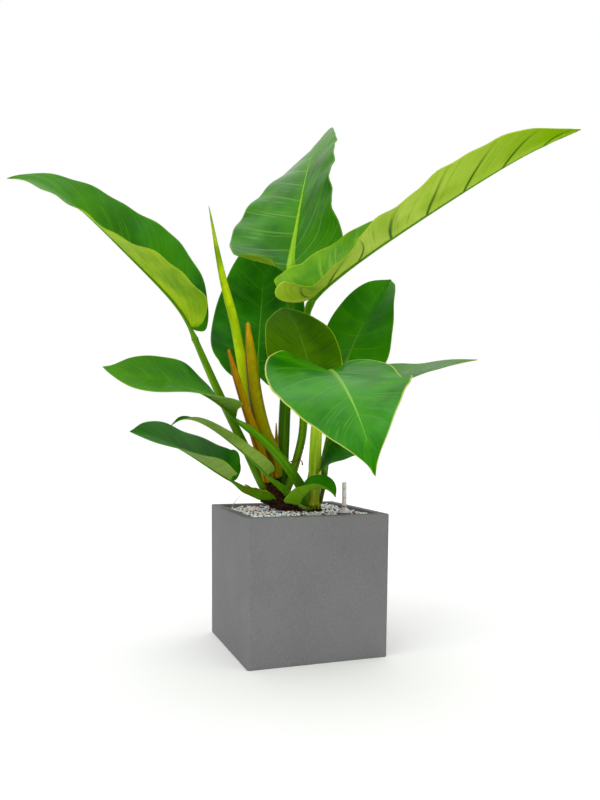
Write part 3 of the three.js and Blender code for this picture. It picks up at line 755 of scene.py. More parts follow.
class BladeTone(Enum):
    """The faces of the leaves, by how they look."""

    # Its grey-green tip colour is painted sheen, light reflected off the upper blade towards its tip.
    UPPER_SHEEN = BladeFinish(
        srgb(18, 88, 0), srgb(66, 138, 12), srgb(124, 172, 66), srgb(96, 146, 20), srgb(96, 134, 66),
        sheen=0.4, vein_show=0.45, fine_show=0.6, tip_show=0.6, gloss=0.33, shine=0.16,
    )
    UPPER_BRIGHT = BladeFinish(
        srgb(14, 92, 0), srgb(68, 150, 0), srgb(100, 168, 40), srgb(196, 206, 90), srgb(48, 132, 0),
        sheen=0.45, vein_show=0.22, fine_show=0.6, gloss=0.32, shine=0.08,
    )
    UPPER_FRESH = BladeFinish(
        srgb(24, 96, 0), srgb(64, 142, 0), srgb(96, 160, 24), srgb(120, 164, 20), srgb(84, 140, 30),
        sheen=0.2, vein_show=0.3, fine_show=0.5, gloss=0.34, shine=0.12,
    )
    UPPER_LIME = BladeFinish(
        srgb(58, 122, 0), srgb(112, 164, 12), srgb(144, 186, 50), srgb(150, 188, 30), srgb(84, 140, 30),
        sheen=0.1, vein_show=0.5, fine_show=0.5, gloss=0.38, shine=0.1,
    )
    UPPER_DEEP = BladeFinish(
        srgb(12, 80, 0), srgb(44, 126, 0), srgb(78, 148, 16), srgb(80, 132, 8), srgb(32, 98, 0),
        sheen=0.1, vein_show=0.3, fine_show=0.35, gloss=0.4, shine=0.07,
    )
    UPPER_PLAIN = BladeFinish(
        srgb(26, 102, 0), srgb(60, 142, 0), srgb(92, 160, 16), srgb(96, 146, 8), srgb(40, 112, 0),
        sheen=0.1, vein_show=0.3, fine_show=0.35, gloss=0.4, shine=0.07,
    )
    # Its own pale yellow-green set brighter: partly painted light, standing in for light shining through the
    # blade.
    UNDER_YELLOW = BladeFinish(
        srgb(148, 182, 30), srgb(188, 212, 82), srgb(36, 78, 0), srgb(186, 204, 60), srgb(118, 160, 0),
        vein_show=0.95, fine_show=0.4, tip_show=1.0, gloss=0.5, shine=0.05, vein_width=0.07,
    )
    # Its own pale yellow-green set brighter: partly painted light, standing in for light shining through the
    # blade.
    UNDER_GOLD = BladeFinish(
        srgb(96, 146, 0), srgb(168, 196, 30), srgb(190, 208, 80), srgb(196, 212, 70), srgb(120, 166, 20),
        vein_show=0.4, fine_show=0.45, tip_show=0.5, foot_show=0.75, gloss=0.5, shine=0.05,
    )
    UNDER_FRESH = BladeFinish(
        srgb(84, 132, 0), srgb(116, 158, 16), srgb(66, 112, 0), srgb(150, 180, 40), srgb(96, 140, 10),
        vein_show=0.55, fine_show=0.5, gloss=0.45, shine=0.15,
    )
    UNDER_OLIVE = BladeFinish(
        srgb(52, 104, 0), srgb(92, 138, 0), srgb(30, 72, 0), srgb(170, 186, 20), srgb(70, 116, 0),
        vein_show=0.4, fine_show=0.7, gloss=0.5, shine=0.12,
    )
    UNDER_SAGE = BladeFinish(
        srgb(80, 120, 10), srgb(120, 152, 46), srgb(60, 100, 10), srgb(160, 186, 70), srgb(110, 144, 60),
        vein_show=0.3, fine_show=0.35, gloss=0.5, shine=0.1,
    )
    UNDER_PALE = BladeFinish(
        srgb(104, 144, 36), srgb(150, 180, 80), srgb(90, 128, 44), srgb(186, 206, 110), srgb(140, 164, 100),
        vein_show=0.3, fine_show=0.3, foot_show=0.45, gloss=0.5, shine=0.05,
    )


@dataclass(frozen=True)
class StalkFinish(Finish):
    """Green of a stalk or midrib, with long streaks.

    Attributes:
        deep: Darker green.
        fresh: Lighter green.
        foot: Colour at the foot.
        foot_show: How much of the foot colour shows.
        gloss: Roughness.
    """

    deep: Colour
    fresh: Colour
    foot: Colour
    foot_show: float = 0.6
    gloss: float = 0.4

    def paint(self, graph: NodeGraph, shader: Node, effects: Effects) -> None:
        """Lays streaks and the foot's colour over the green."""
        fibres = effects.fibres.use(graph)
        clouds = effects.mottle.use(graph, size=30.0, spots=240.0)
        green = graph.mix(fibres["Streak"], self.deep, self.fresh)
        green = graph.tint(clouds["Spot"], 0.35, green, self.fresh)
        height = graph.add("ShaderNodeSeparateXYZ", {0: graph.place_in_object()}).outputs[2]
        low = graph.math("MULTIPLY", graph.remap(height, 0.262, 0.30, 1.0, 0.0), self.foot_show)
        patchy = graph.math("MULTIPLY", low, clouds["Patch"], clamp=True)
        green = graph.mix(patchy, green, self.foot)
        finish_shader(graph, shader, green, self.gloss, fibres["Streak"], 0.25, 0.4)
        shader.inputs["Specular IOR Level"].default_value = 0.25
        shader.inputs["Specular Tint"].default_value = WAX


class StalkTone(Enum):
    """Greens of the stalks and midribs."""

    GREEN = StalkFinish(srgb(62, 112, 0), srgb(100, 150, 8), srgb(120, 104, 20))
    # Front leaf's stalk: its light green set brighter, with streaks near a highlight's colour. This is partly
    # painted light on a stalk that the leaf shades.
    LIME = StalkFinish(srgb(122, 168, 10), srgb(192, 216, 66), srgb(170, 140, 20))
    BRIGHT = StalkFinish(srgb(54, 108, 0), srgb(88, 146, 0), srgb(96, 140, 10))
    DEEP = StalkFinish(srgb(34, 80, 0), srgb(68, 116, 0), srgb(96, 84, 20))
    RIB_PALE = StalkFinish(srgb(92, 158, 34), srgb(128, 180, 70), srgb(128, 180, 70))
    RIB_LIME = StalkFinish(srgb(116, 172, 4), srgb(142, 190, 22), srgb(150, 150, 20))
    RIB_GREEN = StalkFinish(srgb(64, 124, 4), srgb(96, 150, 20), srgb(96, 150, 20))


@dataclass(frozen=True)
class SheathFinish(Finish):
    """Bud sheath: green body that dries to orange and brown at its tip and edges.

    Attributes:
        body: Colour of the fresh body.
        dry: Colour of the dry parts.
        dark: Colour of the driest edge.
        dryness: Share that has dried, 0 to 1.
        stripe: How dark the dried sides are.
    """

    body: Colour
    dry: Colour
    dark: Colour
    dryness: float
    stripe: float = 0.0

    def paint(self, graph: NodeGraph, shader: Node, effects: Effects) -> None:
        """Dries the sheath from its tip and sides."""
        fibres = effects.fibres.use(graph, round=9.0, length=14.0)
        clouds = effects.mottle.use(graph, size=26.0, spots=420.0)
        turn, along = graph.lines()
        half_turn = graph.math("FRACT", graph.math("MULTIPLY", turn, 2.0))
        edge = graph.math("ABSOLUTE", graph.math("SUBTRACT", half_turn, 0.5))
        tip = graph.remap(along, 0.0, 0.08 + 0.5 * self.dryness, 1.0, 0.0)
        wear = graph.math("ADD", tip, graph.math("MULTIPLY", graph.remap(edge, 0.33, 0.5), 0.75))
        patches = graph.math("SUBTRACT", clouds["Patch"], 1.1 - self.dryness)
        wear = graph.math("ADD", wear, patches, clamp=True)
        colour = graph.mix(wear, self.body, self.dry)
        colour = graph.tint(fibres["Streak"], graph.math("MULTIPLY", wear, 0.45), colour, self.dark)
        colour = graph.tint(fibres["Dash"], 0.35, colour, self.dark)
        colour = graph.tint(clouds["Spot"], 0.4, colour, self.dark)
        colour = graph.tint(graph.remap(edge, 0.4, 0.46), self.stripe, colour, self.dark)
        finish_shader(graph, shader, colour, 0.5, fibres["Streak"], 0.4, 0.6)
        shader.inputs["Specular IOR Level"].default_value = 0.12
        shader.inputs["Specular Tint"].default_value = DRY_SKIN


class SheathTone(Enum):
    """Bud sheaths by how far they have dried."""

    FRESH = SheathFinish(srgb(142, 138, 0), srgb(210, 164, 10), srgb(84, 48, 0), 0.55, 0.75)
    DRY = SheathFinish(srgb(164, 134, 0), srgb(196, 134, 0), srgb(78, 44, 0), 0.75, 0.6)
    SPEAR = SheathFinish(srgb(184, 212, 10), srgb(112, 156, 10), srgb(88, 130, 0), 0.5)
    WING = SheathFinish(srgb(70, 124, 0), srgb(196, 190, 40), srgb(90, 50, 16), 0.4, 0.3)
    FOOT = SheathFinish(srgb(112, 150, 0), srgb(186, 132, 20), srgb(120, 60, 10), 0.4)


@dataclass(frozen=True)
class GroundFinish(Finish):
    """Rough natural matter in a few colours, such as peat or bark.

    Attributes:
        dark: Main colour.
        warm: Lighter flecks.
        size: Size of the patches, per metre.
        depth_mm: Height of the relief.
    """

    dark: Colour
    warm: Colour
    size: float
    depth_mm: float

    def paint(self, graph: NodeGraph, shader: Node, effects: Effects) -> None:
        """Lays warm patches and flecks over the dark colour."""
        clouds = effects.mottle.use(graph, size=self.size, spots=self.size * 2.4)
        colour = graph.tint(clouds["Patch"], 0.35, self.dark, self.warm)
        colour = graph.mix(clouds["Spot"], colour, self.warm)
        finish_shader(graph, shader, colour, 0.95, clouds["Patch"], self.depth_mm, 0.8)
        shader.inputs["Specular IOR Level"].default_value = 0.2


@dataclass(frozen=True)
class ConcreteFinish(Finish):
    """Grey fibre concrete with fine pits and soft clouds."""

    grey: Colour = srgb(112, 112, 113)
    light: Colour = srgb(123, 123, 124)
    pit: Colour = srgb(72, 72, 74)
    fleck: Colour = srgb(150, 150, 151)

    def paint(self, graph: NodeGraph, shader: Node, effects: Effects) -> None:
        """Lays specks, pits and soft clouds over the grey."""
        where = graph.place_in_object()
        clouds = effects.mottle.use(graph, size=9.0, spots=700.0)
        grain = graph.noise(where, 1400.0, 2.0, 0.7)
        inputs = {"Vector": where, "Scale": 320.0, "Randomness": 1.0}
        cells = graph.add("ShaderNodeTexVoronoi", inputs).outputs["Distance"]
        sparse = graph.remap(graph.noise(where, 120.0, 2.0), 0.5, 0.62)
        pits = graph.math("MULTIPLY", graph.remap(cells, 0.1, 0.3, 1.0, 0.0), sparse)
        colour = graph.tint(clouds["Patch"], 0.45, self.grey, self.light)
        colour = graph.tint(graph.remap(grain, 0.35, 0.7), 0.3, colour, self.pit)
        speck = graph.noise(where, 430.0, 2.0, 0.7)
        colour = graph.tint(graph.remap(speck, 0.5, 0.75), 0.22, colour, self.fleck)
        colour = graph.tint(graph.remap(speck, 0.25, 0.5, 1.0, 0.0), 0.12, colour, self.pit)
        colour = graph.tint(pits, 0.7, colour, self.pit)
        height = graph.math("SUBTRACT", graph.math("MULTIPLY", grain, 0.25), pits)
        finish_shader(graph, shader, colour, 0.85, height, 0.35, 0.5)


@dataclass(frozen=True)
class GrainFinish(Finish):
    """Mineral grains, each in one of a few stone colours."""

    stones: tuple[tuple[float, Colour], ...] = (
        (0.0, srgb(36, 20, 22)),
        (0.18, srgb(130, 92, 92)),
        (0.24, srgb(236, 198, 184)),
        (0.33, srgb(255, 248, 246)),
        (0.46, srgb(206, 228, 252)),
        (0.63, srgb(255, 255, 255)),
        (0.92, srgb(238, 206, 206)),
    )

    def paint(self, graph: NodeGraph, shader: Node, effects: Effects) -> None:
        """Gives each grain one of the stone colours."""
        tint = graph.add("ShaderNodeAttribute", attribute_name=TINT).outputs["Fac"]
        stone = graph.bands(tint, self.stones)
        clouds = effects.mottle.use(graph, size=600.0, spots=1500.0)
        stone = graph.tint(clouds["Patch"], 0.12, stone, srgb(120, 100, 92))
        finish_shader(graph, shader, stone, 0.9, clouds["Spot"], 0.2, 0.5)


def plain_material(name: str, colour: Colour, roughness: float, coat: float = 0.0) -> Material:
    """Makes a smooth material of one colour.

    Args:
        name: Name of the material.
        colour: Base colour.
        roughness: Roughness.
        coat: Weight of a clear coat.

    Returns:
        The material.
    """
    material, graph, shader = new_material(name)
    shade = graph.noise(graph.place_in_object(), 60.0, 2.0)
    tone = graph.tint(shade, 0.2, colour, tuple(0.8 * c for c in colour[:3]) + (1.0,))
    finish_shader(graph, shader, tone, roughness)
    shader.inputs["Coat Weight"].default_value = coat
    return material


def clear_plastic(name: str) -> Material:
    """Makes the clear plastic of the gauge's tube."""
    material, _, shader = new_material(name)
    shader.inputs["Base Color"].default_value = srgb(222, 220, 222)
    shader.inputs["Roughness"].default_value = 0.3
    shader.inputs["Transmission Weight"].default_value = 0.25
    shader.inputs["IOR"].default_value = 1.2
    return material


# Leaves


@dataclass(frozen=True)
class LeafForm:
    """Form of one leaf, with the values of the part's source.

    Angles are in degrees, at even stations from base to tip. Heading is counted from +X towards
    +Y, pitch is up from level, roll turns the face to its right, and fold lifts each half.

    Attributes:
        junction: Where the stalk meets the blade, in mm.
        length: Length of the midrib, in mm.
        half_width: Greatest half width, in mm.
        widest: Where that is, as a share of the length.
        heading: Direction of the midrib.
        pitch: Rise of the midrib.
        roll: Turn of the face.
        fold_left: Lift of the left half.
        fold_right: Lift of the right half.
        lift: Rise of the basal lobes, left and right.
        lobe: Depth of the basal lobes as a share of the length.
        wedge: How wedge-shaped the base is, left and right, 0 to 1.
        wave: Height in mm and number of the ripples, and their phase left and right.
        stalk: Route of the stalk from the junction down, in mm.
        stalk_radius: Radius of the stalk at its top and foot, in mm.
        crown: Axis that the stalk's flat side faces, x and y in mm.
        upper: Look of the upper face.
        under: Look of the lower face.
        stem: Look of the stalk.
        rib: Look of the midrib.
        rib_width: Width of the midrib at its base, as a share of the stalk's.
        rib_rise: How far the midrib's axis stands above the face, as a share of its radius.
        rib_taper: How quickly the midrib thins; above 1 it does so mostly near its base.
        blunt: How blunt the tip is; below 0 it is drawn out.
        veins: Number of lateral veins on each side.
        quilt: Depth of the relief between the veins, in mm.
        sweep: How far the veins run towards the tip, left and right, as a share of the length.
        step: How far the relief between the veins is stepped, 0 to 1.
        ruffle: Height in mm of the finer ripples near the margin, left and right, and their number.
    """

    junction: Triple
    length: float
    half_width: float
    widest: float
    heading: tuple[float, ...]
    pitch: tuple[float, ...]
    roll: tuple[float, ...]
    fold_left: tuple[float, ...]
    fold_right: tuple[float, ...]
    lift: Pair
    lobe: Pair
    wave: tuple[float, float, float, float]
    stalk: tuple[Triple, ...]
    stalk_radius: Pair
    upper: BladeTone
    under: BladeTone
    stem: StalkTone
    crown: Pair = LEFT_CROWN
    wedge: Pair = (0.0, 0.0)
    rib: StalkTone = StalkTone.RIB_GREEN
    rib_width: float = 0.72
    rib_rise: float = -0.25
    rib_taper: float = 1.25
    blunt: float = -0.2
    veins: float = 9
    quilt: float = 0.6
    sweep: Pair = (0.1, 0.1)
    step: float = 0.0
    ruffle: Triple = (0.0, 0.0, 0.0)


LEAVES: dict[str, LeafForm] = {
    "leaf_tall_centre": LeafForm(
        junction=(6, 49, 677), length=393, half_width=121, widest=0.32,
        heading=(68, 52, 50, 35), pitch=(50, 66, 58, 40), roll=(3, -8, -14),
        fold_left=(17, 10, -6, -24), fold_right=(32, 40, 26, 14),
        lift=(56, 40), lobe=(0.09, 0.09), wave=(4, 5, 0, 0.3),
        stalk=((6, 52, 632), (3, 54, 534), (-5, 47, 414), (-10, 39, 350), (-16, 32, 282), (-24, 31, 264)),
        stalk_radius=(9, 12),
        upper=BladeTone.UPPER_SHEEN, under=BladeTone.UNDER_YELLOW, stem=StalkTone.DEEP,
        rib=StalkTone.RIB_LIME, rib_width=1.1, rib_rise=0.3, rib_taper=2.6, blunt=0.9,
        veins=11, quilt=1.2, sweep=(0.04, 0.24), ruffle=(0.2, 1.1, 11),
    ),
    "leaf_upper_left": LeafForm(
        junction=(-176, 72, 569), length=385, half_width=96, widest=0.3,
        heading=(192, 189, 185, 174), pitch=(61, 40, 37, -13), roll=(-33, -38, -36),
        fold_left=(49, 37, 18, 9), fold_right=(45, 41, 26, 12),
        lift=(60, 10), lobe=(0.05, 0.1), wedge=(0.5, 0.7), wave=(4, 3, 0.2, 0.1),
        stalk=(
            (-160, 67, 528), (-126, 55, 448), (-105, 49, 403), (-79, 41, 348), (-52, 33, 288), (-40, 31, 268),
        ),
        stalk_radius=(7.5, 10),
        upper=BladeTone.UPPER_FRESH, under=BladeTone.UNDER_GOLD, stem=StalkTone.GREEN,
        veins=10, quilt=1.1, sweep=(0.5, 0.16), ruffle=(2.0, 1.5, 7),
    ),
    "leaf_upper_right": LeafForm(
        junction=(16, -73, 618), length=456, half_width=106, widest=0.26,
        heading=(-39, -41, -40, -35), pitch=(39, 29, 27, 16), roll=(9, 0, -14),
        fold_left=(52, 36, 30, 28), fold_right=(4, 3, 16, 35),
        lift=(40, 55), lobe=(0.17, 0.25), wedge=(0.25, 1.15), wave=(4, 4, 0.3, 0),
        stalk=((4, -52, 597), (20, 18, 495), (23, 25, 387), (11, 22, 336), (-8, 18, 283), (-19, 23, 262)),
        stalk_radius=(7, 9),
        upper=BladeTone.UPPER_LIME, under=BladeTone.UNDER_YELLOW, stem=StalkTone.GREEN,
        veins=7.7, quilt=2.4, sweep=(0.1, 0.1), step=0.8, ruffle=(1.2, 1.2, 9),
    ),
    "leaf_back": LeafForm(
        junction=(-38, 110, 495), length=350, half_width=94, widest=0.33,
        heading=(73, 62, 61, 62), pitch=(63, 72, 71, 65), roll=(8, -2, -4),
        fold_left=(23, 7, 4, 2), fold_right=(19, 14, 8, 4),
        lift=(14, 0), lobe=(0.1, 0.1), wave=(2, 3, 0, 0.5),
        stalk=((-39, 100, 455), (-39, 85, 405), (-36, 62, 331), (-32, 46, 282), (-31, 38, 266)),
        stalk_radius=(6, 9),
        upper=BladeTone.UPPER_DEEP, under=BladeTone.UNDER_OLIVE, stem=StalkTone.GREEN,
        veins=10, quilt=0.7,
    ),
    "leaf_left_low": LeafForm(
        junction=(-111, 20, 295), length=228, half_width=82, widest=0.34,
        heading=(198, 203, 208, 209), pitch=(24, 29, 20, 6), roll=(-33, -27, -32),
        fold_left=(28, 26, 14, -3), fold_right=(21, 13, 12, 13),
        lift=(80, 80), lobe=(0, 0.09), wedge=(1, 0), wave=(2, 3, 0, 0.5),
        stalk=((-88, 22, 279), (-61, 25, 267), (-38, 26, 261)),
        stalk_radius=(5, 8),
        upper=BladeTone.UPPER_PLAIN, under=BladeTone.UNDER_SAGE, stem=StalkTone.GREEN,
        veins=8, quilt=0.6,
    ),
    "leaf_front": LeafForm(
        junction=(3, -151, 477), length=350, half_width=105, widest=0.32,
        heading=(251, 256, 262, 261), pitch=(-4, -16, -34, -57), roll=(-1, 11, 23),
        fold_left=(14, -7, 16, 34), fold_right=(22, 6, 5, 15),
        lift=(26, 5), lobe=(0.09, 0.09), wedge=(0.25, 0.2), wave=(2, 3, 0, 0.5),
        stalk=((-4, -134, 456), (3, -96, 401), (13, -62, 334), (22, -38, 290), (28, -16, 256)),
        stalk_radius=(7, 12), crown=RIGHT_CROWN,
        upper=BladeTone.UPPER_BRIGHT, under=BladeTone.UNDER_YELLOW, stem=StalkTone.LIME,
        rib=StalkTone.RIB_PALE, rib_width=0.8, rib_rise=0, blunt=-0.5,
        veins=8, quilt=1.6, sweep=(0.1, 0.12), ruffle=(0.8, 0.8, 8),
    ),
    "leaf_left_middle": LeafForm(
        junction=(-117, -21, 404), length=261, half_width=72, widest=0.25,
        heading=(212, 205, 199, 198), pitch=(35, 19, 6, 18), roll=(-26, -35, -53),
        fold_left=(19, 22, 12, -20), fold_right=(4, 13, 17, 17),
        lift=(80, 80), lobe=(0, 0.03), wedge=(1, 0), wave=(2, 3, 0.5, 0),
        stalk=((-95, -38, 385), (-63, -58, 354), (-32, -62, 317), (2, -35, 279), (15, -13, 258)),
        stalk_radius=(6, 10), crown=RIGHT_CROWN,
        upper=BladeTone.UPPER_FRESH, under=BladeTone.UNDER_FRESH, stem=StalkTone.BRIGHT,
        veins=8, quilt=0.6,
    ),
    "leaf_right_upright": LeafForm(
        junction=(104, 20, 509), length=229, half_width=82, widest=0.26,
        heading=(29, 26, 27, 33), pitch=(58, 55, 49, 41), roll=(2, 6, 14),
        fold_left=(-10, 6, 28, 48), fold_right=(-13, 5, 21, 32),
        lift=(0, 0), lobe=(0.06, 0.06), wave=(1.5, 3, 0, 0.5),
        stalk=((90, 24, 442), (74, 22, 374), (55, 18, 297), (40, 10, 254)),
        stalk_radius=(5, 8), crown=RIGHT_CROWN,
        upper=BladeTone.UPPER_PLAIN, under=BladeTone.UNDER_OLIVE, stem=StalkTone.GREEN,
        veins=8, quilt=0.4,
    ),
    "leaf_right_low": LeafForm(
        junction=(63, -101, 483), length=207, half_width=58, widest=0.28,
        heading=(-28, -26, -26, -25), pitch=(-6, 2, 11, 10), roll=(15, 9, 6),
        fold_left=(15, 12, 15, 26), fold_right=(-10, -7, 1, 10),
        lift=(0, 0), lobe=(0.06, 0.06), wave=(1.5, 3, 0, 0.5),
        stalk=((57, -90, 455), (56, -73, 422), (55, -42, 382), (51, -25, 346), (48, -16, 297), (42, -7, 256)),
        stalk_radius=(4.5, 7), crown=RIGHT_CROWN,
        upper=BladeTone.UPPER_SHEEN, under=BladeTone.UNDER_PALE, stem=StalkTone.DEEP,
        rib=StalkTone.RIB_PALE, veins=8, quilt=0.5,
    ),
    "leaf_middle": LeafForm(
        junction=(32, -26, 435), length=232, half_width=79, widest=0.37,
        heading=(225, 229, 233, 226), pitch=(58, 50, 29, 5), roll=(-22, -12, -4),
        fold_left=(-24, -15, 0, 13), fold_right=(-14, -7, 5, 17),
        lift=(0, 0), lobe=(0.08, 0.08), wave=(1.5, 3, 0, 0.5),
        stalk=((42, 0, 369), (37, 18, 296), (31, 16, 256)),
        stalk_radius=(5, 8), crown=RIGHT_CROWN,
        upper=BladeTone.UPPER_DEEP, under=BladeTone.UNDER_OLIVE, stem=StalkTone.GREEN,
        veins=10, quilt=0.5,
    ),
    "leaf_left_slender": LeafForm(
        junction=(-63, -32, 307), length=243, half_width=22, widest=0.2,
        heading=(192, 200, 215, 226), pitch=(44, 34, 17, -31), roll=(-7, -23, -26),
        fold_left=(62, 52, 46, 40), fold_right=(20, 8, 4, 4),
        lift=(60, 60), lobe=(0, 0), wave=(1, 3, 0, 0.5),
        stalk=((-39, -33, 287), (-17, -25, 271), (0, -15, 260), (16, -4, 252)),
        stalk_radius=(5, 9), crown=RIGHT_CROWN,
        upper=BladeTone.UPPER_DEEP, under=BladeTone.UNDER_PALE, stem=StalkTone.BRIGHT,
        veins=8, quilt=0.4,
    ),
    "leaf_small_right": LeafForm(
        junction=(23, -87, 325), length=122, half_width=47, widest=0.31,
        heading=(4, 8, 11, 10), pitch=(34, 32, 26, 21), roll=(-10, 9, 22),
        fold_left=(-9, 6, 19, 27), fold_right=(5, 1, 4, 6),
        lift=(0, 0), lobe=(0.12, 0.12), wave=(1, 3, 0, 0.5),
        stalk=((25, -80, 310), (34, -50, 284), (41, -20, 258)),
        stalk_radius=(2.5, 4), crown=RIGHT_CROWN,
        upper=BladeTone.UPPER_DEEP, under=BladeTone.UNDER_OLIVE, stem=StalkTone.DEEP,
        veins=7, quilt=0.4,
    ),
    "leaf_small_front": LeafForm(
        junction=(-27, -92, 262), length=79, half_width=44, widest=0.29,
        heading=(-30, -27, -27, -23), pitch=(70, 36, -10, -62), roll=(6, 16, 24),
        fold_left=(2, 10, 24, 37), fold_right=(39, 32, 32, 33),
        lift=(40, 40), lobe=(0.03, 0.03), wave=(1, 3, 0, 0.5),
        stalk=((-17, -77, 257), (-3, -53, 252), (11, -28, 248), (22, -14, 243)),
        stalk_radius=(3, 4.5), crown=RIGHT_CROWN,
        upper=BladeTone.UPPER_DEEP, under=BladeTone.UNDER_FRESH, stem=StalkTone.GREEN,
        veins=7, quilt=0.5,
    ),
}

# Unit outline of one half of a blade, from the junction round the lobe to the tip: share of the
# path, of the half width, of the lobe's depth, of the length, and of the widest place, and what
# a wedge-shaped base takes from the width and adds to the length, and a blunt tip to the width.
HALF_OUTLINE = np.array(
    [
        (0, 0, 0, 0, 0, 0, 0, 0),
        (0.045, 0.1, 0.5, 0, 0, 0.02, 0.03, 0),
        (0.12, 0.34, 1, 0, 0, 0.1, 0.08, 0),
        (0.21, 0.72, 0.62, 0, 0, 0.22, 0.13, 0),
        (0.33, 0.96, 0, 0.06, 0, 0.14, 0.12, 0),
        (0.45, 0.985, 0, 0, 1, 0, 0, 0),
        (0.61, 0.8, 0, 0.27, 1, 0, 0, 0.01),
        (0.8, 0.47, 0, 0.8, 0, 0, 0, 0.06),
        (0.94, 0.14, 0, 0.945, 0, 0, 0, 0.12),
        (1, 0, 0, 1, 0, 0, 0, 0),
    ]
)


@dataclass
class Leaf:
    """One leaf: a blade with two faces, and the stalk that runs on as its midrib.

    Attributes:
        name: Name of the frame's node.
        form: Its form and look.
        rows: Rows of the mesh from base to tip.
        shares: Columns of the mesh, as shares of the way from midrib to margin.
        thickness: Thickness of the blade, in mm.
    """

    name: str
    form: LeafForm
    rows: int = 88
    shares: tuple[float, ...] = (
        0, 0.03, 0.07, 0.13, 0.21, 0.3, 0.4, 0.5, 0.6, 0.7, 0.79, 0.87, 0.93, 0.975, 1,
    )
    thickness: float = 1.1

    def outline(self, t: Array, side: int) -> tuple[Array, Array]:
        """Reads one half of the outline.

        Args:
            t: Share of the path from junction to tip.
            side: -1 for the left half, 1 for the right.

        Returns:
            The share of the half width, and the share of the length.
        """
        half = (side + 1) // 2
        lobe, wedge = self.form.lobe[half], self.form.wedge[half]
        at, wide, behind, along, widest, taken, added, blunt = HALF_OUTLINE.T
        ends = along - lobe * behind + self.form.widest * widest + wedge * added
        marks = np.column_stack([wide - wedge * taken + self.form.blunt * blunt, ends])
        before = np.vstack([marks[:1], marks[:-1]])
        after = np.vstack([marks[1:], marks[-1:]])
        gap = np.append(at[1:], at[-1]) - np.append(at[0], at[:-1])
        slope = (after - before) / gap[:, None]
        i = np.clip(np.searchsorted(at, t, side="left") - 1, 0, len(at) - 2)
        span = (at[i + 1] - at[i])[:, None]
        s = (t[:, None] - at[i][:, None]) / span
        value = (
            marks[i] * (1 + 2 * s) * (1 - s) ** 2
            + marks[i + 1] * s**2 * (3 - 2 * s)
            + span * slope[i] * s * (1 - s) ** 2
            - span * slope[i + 1] * s**2 * (1 - s)
        )
        return value[:, 0], value[:, 1]

    def axes(self, t: Array) -> tuple[Array, Array, Array]:
        """Direction, face and right-hand side of the midrib.

        Args:
            t: Places along the midrib, 0 to 1.

        Returns:
            Three unit vectors for each place.
        """
        heading, pitch, roll = (
            np.radians(keyed(v, t))[..., None] for v in (self.form.heading, self.form.pitch, self.form.roll)
        )
        along = np.concatenate(
            [np.cos(pitch) * np.cos(heading), np.cos(pitch) * np.sin(heading), np.sin(pitch)], axis=-1
        )
        up = np.concatenate(
            [-np.sin(pitch) * np.cos(heading), -np.sin(pitch) * np.sin(heading), np.cos(pitch)], axis=-1
        )
        side = np.cross(along, up)
        return along, np.cos(roll) * up + np.sin(roll) * side, np.cos(roll) * side - np.sin(roll) * up

    def midrib(self, t: Array) -> Array:
        """Points of the midrib.

        Args:
            t: Places along it, 0 to 1.

        Returns:
            The points, in mm.
        """
        steps = np.linspace(0, 1, 41)
        along = self.axes(steps)[0]
        moves = (along[:-1] + along[1:]) * self.form.length / 80
        points = np.vstack([[0, 0, 0], np.cumsum(moves, axis=0)]) + np.array(self.form.junction, dtype=float)
        return np.stack([np.interp(t, steps, points[:, k]) for k in range(3)], axis=-1)

    def surface(self, share: Array, across: Array, along: Array, side: int) -> Array:
        """Points of the blade's middle surface.

        Args:
            share: Share of the way from the midrib to the margin.
            across: Distance from the midrib, in mm.
            along: Share of the length, below 0 in the lobes.
            side: -1 for the left half, 1 for the right.

        Returns:
            The points, in mm.
        """
        form, half = self.form, (side + 1) // 2
        t = np.clip(along, 0, 1)
        forward, face, right = self.axes(t)
        fold = np.radians(keyed((form.fold_left, form.fold_right)[half], t))
        height, count, phase = *form.wave[:2], form.wave[2 + half]
        reach = across / form.half_width
        ripple = height * np.sin(2 * np.pi * (count * along + phase)) * reach**2
        finer = form.ruffle[half] * share**4 * np.minimum(1, 2 * reach)
        ripple += finer * np.sin(2 * np.pi * (form.ruffle[2] * along + 0.3 * side))
        outward = across * np.cos(fold) - ripple * np.sin(fold)
        rise = across * np.sin(fold) + ripple * np.cos(fold)
        behind = np.maximum(-along, 0) * form.length
        lift = np.radians(form.lift[half]) * np.minimum(reach / 0.3, 1)
        return (
            self.midrib(t)
            - forward * (behind * np.cos(lift))[..., None]
            + face * (rise + behind * np.sin(lift))[..., None]
            + right * (side * outward)[..., None]
        )

    def blade(self, materials: list[Material]) -> Piece:
        """Makes the blade.

        Args:
            materials: Upper face, lower face.

        Returns:
            The piece, one surface that a Solidify modifier gives its two faces.
        """
        form = self.form
        shares = np.array(self.shares)
        t = np.linspace(0, 1, self.rows + 1)
        foot = np.clip((t - 0.2) / 0.8, 0, None)
        columns = len(shares)
        parts = MeshParts()
        for side in (-1, 1):
            wide, end = self.outline(t, side)
            share = np.broadcast_to(shares, (self.rows + 1, columns))
            across = form.half_width * np.maximum(wide, 0)[:, None] * share
            along = foot[:, None] + (end - foot)[:, None] * share
            points = self.surface(share, across, along, side)
            phase = form.veins * (1.15 * t[:, None] - form.sweep[(side + 1) // 2] * share**1.15)
            points = self.quilted(points, phase, share, side)
            quads, uvs = [], []
            for i in range(self.rows):
                for j in range(columns - 1):
                    corners = [(i, j), (i, j + 1), (i + 1, j + 1), (i + 1, j)]
                    if side < 0:
                        corners.reverse()
                    quads.append(tuple(a * columns + b for a, b in corners))
                    uvs += [(side * float(share[a, b]), float(phase[a, b])) for a, b in corners]
            parts.add(points.reshape(-1, 3), quads)
            parts.mark(ALONG, np.broadcast_to(t[:, None], share.shape))
            parts.lines += uvs
        piece = parts.build(self.name + "_blade", materials, weld=True)
        body = piece.modifiers.new("thickness", "SOLIDIFY")
        body.thickness = self.thickness * MM
        body.offset = 0
        body.material_offset = 1
        return piece

